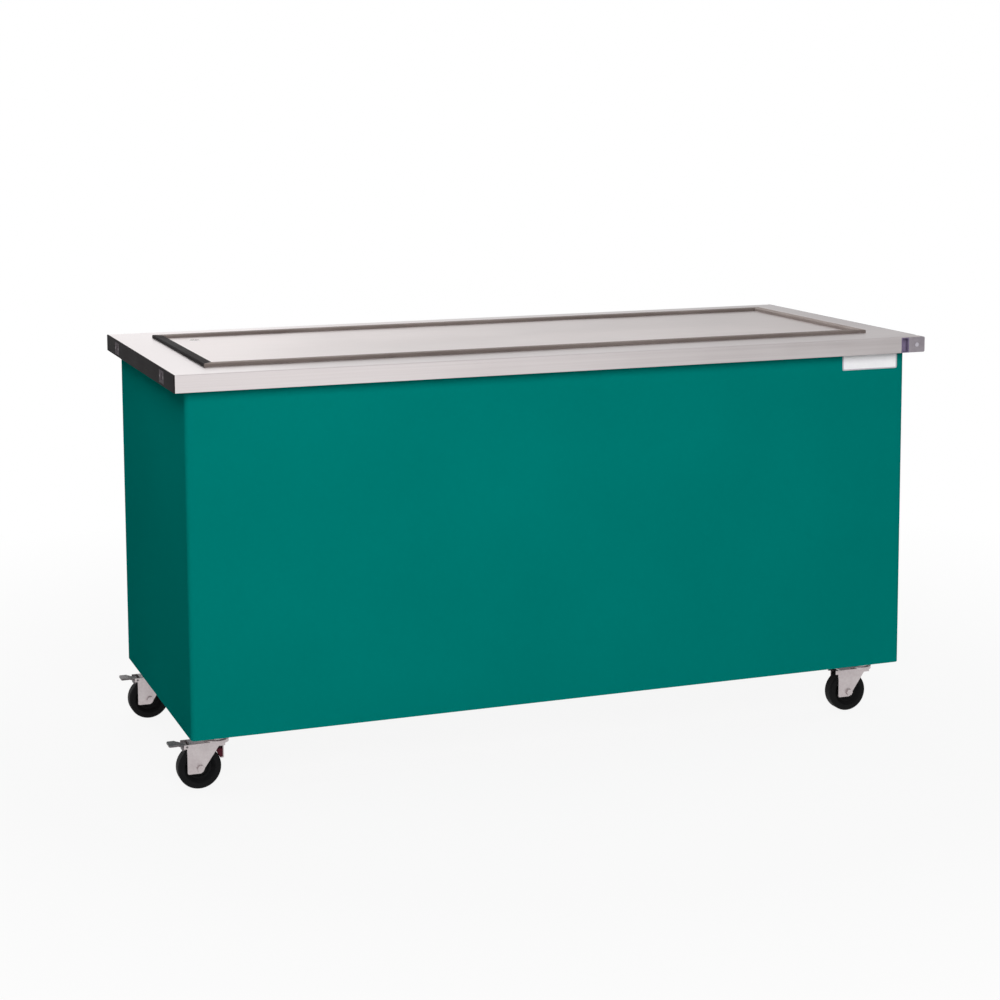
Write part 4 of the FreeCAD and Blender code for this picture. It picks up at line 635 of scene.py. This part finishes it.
def modelStrainer(look):
    deselectAll()
    high = look["top"] - look["foot"]
    bpy.ops.mesh.primitive_cylinder_add(vertices=48, radius=look["radius"] * mm, depth=high * mm,
                                        location=(look["x"] * mm, look["y"] * mm,
                                                  (look["foot"] + high / 2) * mm))
    cup = bpy.context.object
    applyPlace()
    pickEdges(cup, lambda a, b: min(a.z, b.z) > look["top"] - touch)
    bpy.ops.mesh.bevel(offset=look["ease"] * mm, segments=3, affect="EDGES")
    pickFaces(cup, lambda centre, normal: normal.z < -square)
    bpy.ops.mesh.inset(thickness=look["sheet"] * mm)
    bpy.ops.mesh.extrude_region_move(TRANSFORM_OT_translate={"value": (0, 0, (high - look["sheet"]) * mm)})
    bpy.ops.object.mode_set(mode="OBJECT")
    turns = [2 * math.pi * number / look["ringHoles"] for number in range(look["ringHoles"])]
    holes = [(0, 0)] + [(look["ring"] * math.cos(turn), look["ring"] * math.sin(turn)) for turn in turns]
    for across, along in holes:
        deselectAll()
        bpy.ops.mesh.primitive_cylinder_add(vertices=20, radius=look["hole"] * mm, depth=4 * high * mm,
                                            location=((look["x"] + across) * mm, (look["y"] + along) * mm,
                                                      look["top"] * mm))
        drill = bpy.context.object
        applyPlace()
        cutAway(cup, drill)
    finishPiece(cup, "drainStrainer", finishes["polishedSteelBar"])
    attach(cup, "cabinet")


modelStrainer(strainer)
print("strainer made")

# rubber block behind each braked wheel in a folded holder under the fork's web, sizes in mm from the axle
brakeBlock = {"near": 34, "far": 52, "low": 17, "high": 36, "half": 11, "tread": 48.6, "ease": 1.4,
              "sheet": 2.4, "bend": 1.92, "holderHalf": 9, "web": 51.5, "lip": 5,
              "spots": {"Front": (-833, -285, 47.5), "Back": (-833, 265, 47.5)}}


def modelBrakeBlock(look):
    rubber = modelBlock((look["far"] - look["near"], 2 * look["half"], look["high"] - look["low"]),
                        ((look["near"] + look["far"]) / 2, 0, (look["low"] + look["high"]) / 2))
    pickFaces(rubber, lambda centre, normal: True)
    bpy.ops.mesh.bevel(offset=look["ease"] * mm, segments=3, affect="EDGES")
    bpy.ops.object.mode_set(mode="OBJECT")
    deselectAll()
    bpy.ops.mesh.primitive_cylinder_add(vertices=96, radius=look["tread"] * mm, depth=4 * look["half"] * mm,
                                        rotation=(math.pi / 2, 0, 0))
    treadRoom = bpy.context.object
    applyPlace()
    cutAway(rubber, treadRoom)
    finishPiece(rubber, "brakeRubber", finishes["redBrakeRubber"])
    return rubber


def modelBrakeHolder(look):
    foot = look["low"] - look["sheet"]
    holder = modelBlock((look["sheet"], 2 * look["holderHalf"], look["web"] - foot),
                        (look["far"] + look["sheet"] / 2, 0, (look["web"] + foot) / 2))
    pickFaces(holder, lambda centre, normal: True)
    bpy.ops.mesh.bisect(plane_co=(0, 0, look["low"] * mm), plane_no=(0, 0, 1))
    pickFaces(holder, lambda centre, normal: normal.x < -square and centre.z < look["low"])
    bpy.ops.mesh.extrude_region_move(TRANSFORM_OT_translate={"value": (-look["lip"] * mm, 0, 0)})
    outer = look["far"] + look["sheet"]
    pickEdges(holder, lambda a, b: min(a.x, b.x) > outer - touch and max(a.z, b.z) < look["low"] - touch)
    bpy.ops.mesh.bevel(offset=look["bend"] * mm, segments=4, affect="EDGES")
    finishPiece(holder, "brakeHolder", finishes["zincPlate"])
    return holder


for piece, slotName in ((modelBrakeBlock(brakeBlock), "red_vinyl"), (modelBrakeHolder(brakeBlock), "zinc")):
    kind = piece.name
    for row, spot in brakeBlock["spots"].items():
        piece.name = kind + row
        placeCopies(piece, [spot], facingUp, f"caster_{row.lower()}_left")
    bpy.data.objects.remove(piece)
print("brake blocks made")

# printed marks round the thermostat knob from its rest, shorter between the numbered ones
dial = {"x": 575, "z": 839, "face": 354.5, "inner": 20.0, "long": 3.0, "short": 1.8, "wide": 0.6,
        "thick": 0.15, "ease": 0.2, "from": -90, "sweep": 270, "marks": 13,
        "numbersAt": 26.4, "numberHigh": 4.6}


def modelDialMarks(look):
    marks = []
    for number in range(look["marks"]):
        angle = math.radians(look["from"] + look["sweep"] * number / (look["marks"] - 1))
        length = look["long"] if number % 2 == 0 else look["short"]
        mark = modelBlock((length, look["wide"], look["thick"]),
                          (look["inner"] + length / 2, 0, look["thick"] / 2))
        pickEdges(mark, lambda a, b: abs(a.z - b.z) > touch)
        bpy.ops.mesh.bevel(offset=look["ease"] * mm, segments=2, affect="EDGES")
        bpy.ops.object.mode_set(mode="OBJECT")
        mark.rotation_euler = (0, 0, angle)
        applyPlace()
        marks.append(mark)
    deselectAll()
    for mark in marks:
        mark.select_set(True)
    bpy.context.view_layer.objects.active = marks[0]
    bpy.ops.object.join()
    marks[0].rotation_euler = facingBack
    marks[0].location = (look["x"] * mm, look["face"] * mm, look["z"] * mm)
    finishPiece(marks[0], "dialMarks", finishes["printedInk"])
    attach(marks[0], "cabinet")


# printed lettering on the control plate, read from behind the counter
def printWords(words, name, x, z, high):
    deselectAll()
    bpy.ops.object.text_add()
    letters = bpy.context.object
    letters.data.body = words
    letters.data.align_x = "CENTER"
    letters.data.align_y = "CENTER"
    letters.data.size = high * mm
    letters.data.extrude = dial["thick"] / 2 * mm
    bpy.ops.object.convert(target="MESH")
    letters = bpy.context.object
    letters.rotation_euler = readFromBack
    letters.location = (x * mm, (dial["face"] + dial["thick"] / 2) * mm, z * mm)
    finishPiece(letters, name, finishes["printedInk"])
    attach(letters, "cabinet")


modelDialMarks(dial)
for number in range(0, dial["marks"], 2):
    turned = math.radians(dial["sweep"] * number / (dial["marks"] - 1))
    printWords(str(number // 2), f"dialNumber_{number // 2}",
               dial["x"] + dial["numbersAt"] * math.sin(turned),
               dial["z"] + dial["numbersAt"] * math.cos(turned), dial["numberHigh"])

# painted line along the knob's pointer, a hair proud of its face
knobLine = {"wide": 1.4, "thick": 0.25, "low": 844.5, "high": 853.5, "ease": 0.5}


def modelKnobLine(look):
    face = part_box("thermostat_knob")[1][1] / mm
    line = modelBlock((look["wide"], look["thick"], look["high"] - look["low"]),
                      (dial["x"], face + look["thick"] / 2, (look["low"] + look["high"]) / 2))
    pickEdges(line, lambda a, b: abs(a.y - b.y) > touch)
    bpy.ops.mesh.bevel(offset=look["ease"] * mm, segments=3, affect="EDGES")
    finishPiece(line, "knobLine", finishes["whitePaintFill"])
    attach(line, "knob")


modelKnobLine(knobLine)

# the rocker's upper half is pressed for on
switchWords = {"ON": 860, "OFF": 818, "x": 475, "high": 6.0}
for word in ("ON", "OFF"):
    printWords(word, "switchWord_" + word, switchWords["x"], switchWords[word], switchWords["high"])
print("dial and switch lettering made")

# studio: a wide key ahead of the counter, weaker light from both ends, above and behind,
# and a faint low panel in front for the steel to mirror
lamps = {
    "key": {"place": (-1.1, -4.7, 2.9), "aim": (0, 0, 0.5), "size": 2.8, "watts": 210, "mirrored": False},
    "left": {"place": (-1.45, -0.1, 2.0), "aim": (-0.8, 0, 0.8), "size": 0.9, "watts": 12, "mirrored": False},
    "top": {"place": (0.2, 0.2, 4.6), "aim": (0, 0, 0.9), "size": 3.6, "watts": 50, "mirrored": False},
    "rear": {"place": (-0.6, 5.2, 3.0), "aim": (0, 0, 0.6), "size": 3.2, "watts": 10, "mirrored": True},
    "lowFront": {"place": (0.5, -4.8, 0.95), "aim": (0, 0, 0.9), "size": 1.8, "watts": 3.5, "mirrored": True},
    "rearFill": {"place": (0.8, 4.9, 2.6), "aim": (0, 0, 0.5), "size": 3.0, "watts": 150, "mirrored": False},
    "rightFill": {"place": (4.8, 0.8, 2.6), "aim": (0, 0, 0.5), "size": 2.6, "watts": 110, "mirrored": False},
}
for name, lamp in lamps.items():
    deselectAll()
    bpy.ops.object.light_add(type="AREA", location=lamp["place"])
    light = bpy.context.object
    light.name = name + "Light"
    light.data.size = lamp["size"]
    light.data.energy = lamp["watts"]
    light.visible_glossy = lamp["mirrored"]
    away = Vector(lamp["place"]) - Vector(lamp["aim"])
    light.rotation_euler = away.to_track_quat("Z", "Y").to_euler()

# the background is plain white to the eye, and in reflections too but for a greyer side on the right
studio = {"dim": 0.15, "greyShare": 0.36, "greyFrom": 0.25, "greyTo": 0.6,
          "floorGrey": 0.2, "floorFrom": 2.0, "floorTo": 4.5}


# 1 for what the camera sees and less for a reflection of the grey side
def seenShare(tree, sideways, start, end, grey):
    rays = addNode(tree, "ShaderNodeLightPath").outputs
    mirrored = addNode(tree, "ShaderNodeMapRange",
                       {"From Min": start, "From Max": end, "To Min": 1.0, "To Max": grey},
                       {"Value": sideways}).outputs[0]
    mirrored = addNode(tree, "ShaderNodeMath", {"operation": "MULTIPLY"},
                       {0: mirrored, 1: rays["Is Glossy Ray"]}).outputs[0]
    seen = addNode(tree, "ShaderNodeMath", {"operation": "MAXIMUM"},
                   {0: rays["Is Camera Ray"], 1: rays["Is Transmission Ray"]}).outputs[0]
    return addNode(tree, "ShaderNodeMath", {"operation": "MAXIMUM"}, {0: seen, 1: mirrored}).outputs[0]


world = bpy.data.worlds.new("studio")
bpy.context.scene.world = world
world.use_nodes = True
world.node_tree.nodes.clear()
towards = addNode(world.node_tree, "ShaderNodeTexCoord").outputs["Generated"]
sideways = addNode(world.node_tree, "ShaderNodeSeparateXYZ", {}, {0: towards}).outputs["X"]
seen = seenShare(world.node_tree, sideways, studio["greyFrom"], studio["greyTo"], studio["greyShare"])
level = addNode(world.node_tree, "ShaderNodeMapRange", {"To Min": studio["dim"], "To Max": 1.0},
                {"Value": seen}).outputs[0]
sky = addNode(world.node_tree, "ShaderNodeBackground", {"Color": linearColour("#FFFFFF")},
              {"Strength": level})
addNode(world.node_tree, "ShaderNodeOutputWorld", {}, {"Surface": sky.outputs[0]})

# pale floor: white to the eye, keeping a soft shadow near the counter and fading out beyond it
floorLook = {"wide": 24.0, "level": -0.0004, "shadowShare": 0.1, "fadeFrom": 1.2, "fadeTo": 2.6}
deselectAll()
bpy.ops.mesh.primitive_plane_add(size=floorLook["wide"], location=(0, 0, floorLook["level"]))
floor = bpy.context.object
floor.name = "studioFloor"
material, tree = emptyTree("matt white floor")
place = addNode(tree, "ShaderNodeTexCoord").outputs["Object"]
sideways = addNode(tree, "ShaderNodeSeparateXYZ", {}, {0: place}).outputs["X"]
seen = seenShare(tree, sideways, studio["floorFrom"], studio["floorTo"], studio["floorGrey"])
reach = addNode(tree, "ShaderNodeVectorMath", {"operation": "LENGTH"}, {0: place}).outputs["Value"]
white = addNode(tree, "ShaderNodeMapRange",
                {"From Min": floorLook["fadeFrom"], "From Max": floorLook["fadeTo"],
                 "To Min": 1 - floorLook["shadowShare"], "To Max": 1.0},
                {"Value": reach}).outputs[0]
white = addNode(tree, "ShaderNodeMath", {"operation": "MULTIPLY"}, {0: white, 1: seen}).outputs[0]
matt = addNode(tree, "ShaderNodeBsdfDiffuse", {"Color": linearColour("#B4B3B2")}).outputs[0]
glow = addNode(tree, "ShaderNodeEmission", {"Color": linearColour("#FFFFFF"), "Strength": 1.0}).outputs[0]
both = addNode(tree, "ShaderNodeMixShader", {}, {0: white, 1: matt, 2: glow}).outputs[0]
addNode(tree, "ShaderNodeOutputMaterial", {}, {"Surface": both})
floor.data.materials.append(material)

# camera found from the counter's corners: turned 20.5 degrees to the right, 6.7 down, standing 5 m off
shot = {"place": (-1.7836, -4.6927, 1.5203), "yaw": 20.525, "pitch": 6.745, "roll": -0.229,
        "focal": 2130.5, "frame": 1000, "centreDown": 330, "sensor": 36}
yaw, pitch, roll = (math.radians(shot[key]) for key in ("yaw", "pitch", "roll"))
forward = Vector((math.sin(yaw) * math.cos(pitch), math.cos(yaw) * math.cos(pitch), -math.sin(pitch)))
level = Vector((math.cos(yaw), -math.sin(yaw), 0))
upward = level.cross(forward)
right = level * math.cos(roll) + upward * math.sin(roll)
upward = right.cross(forward)
deselectAll()
bpy.ops.object.camera_add()
camera = bpy.context.object
turned = Matrix((right, upward, -forward)).transposed().to_4x4()
camera.matrix_world = Matrix.Translation(shot["place"]) @ turned
camera.data.sensor_width = shot["sensor"]
camera.data.lens = shot["focal"] / shot["frame"] * camera.data.sensor_width
camera.data.shift_y = (shot["centreDown"] - shot["frame"] / 2) / shot["frame"]
bpy.context.scene.camera = camera
bpy.context.scene.view_settings.view_transform = "Standard"
print("studio and camera set")
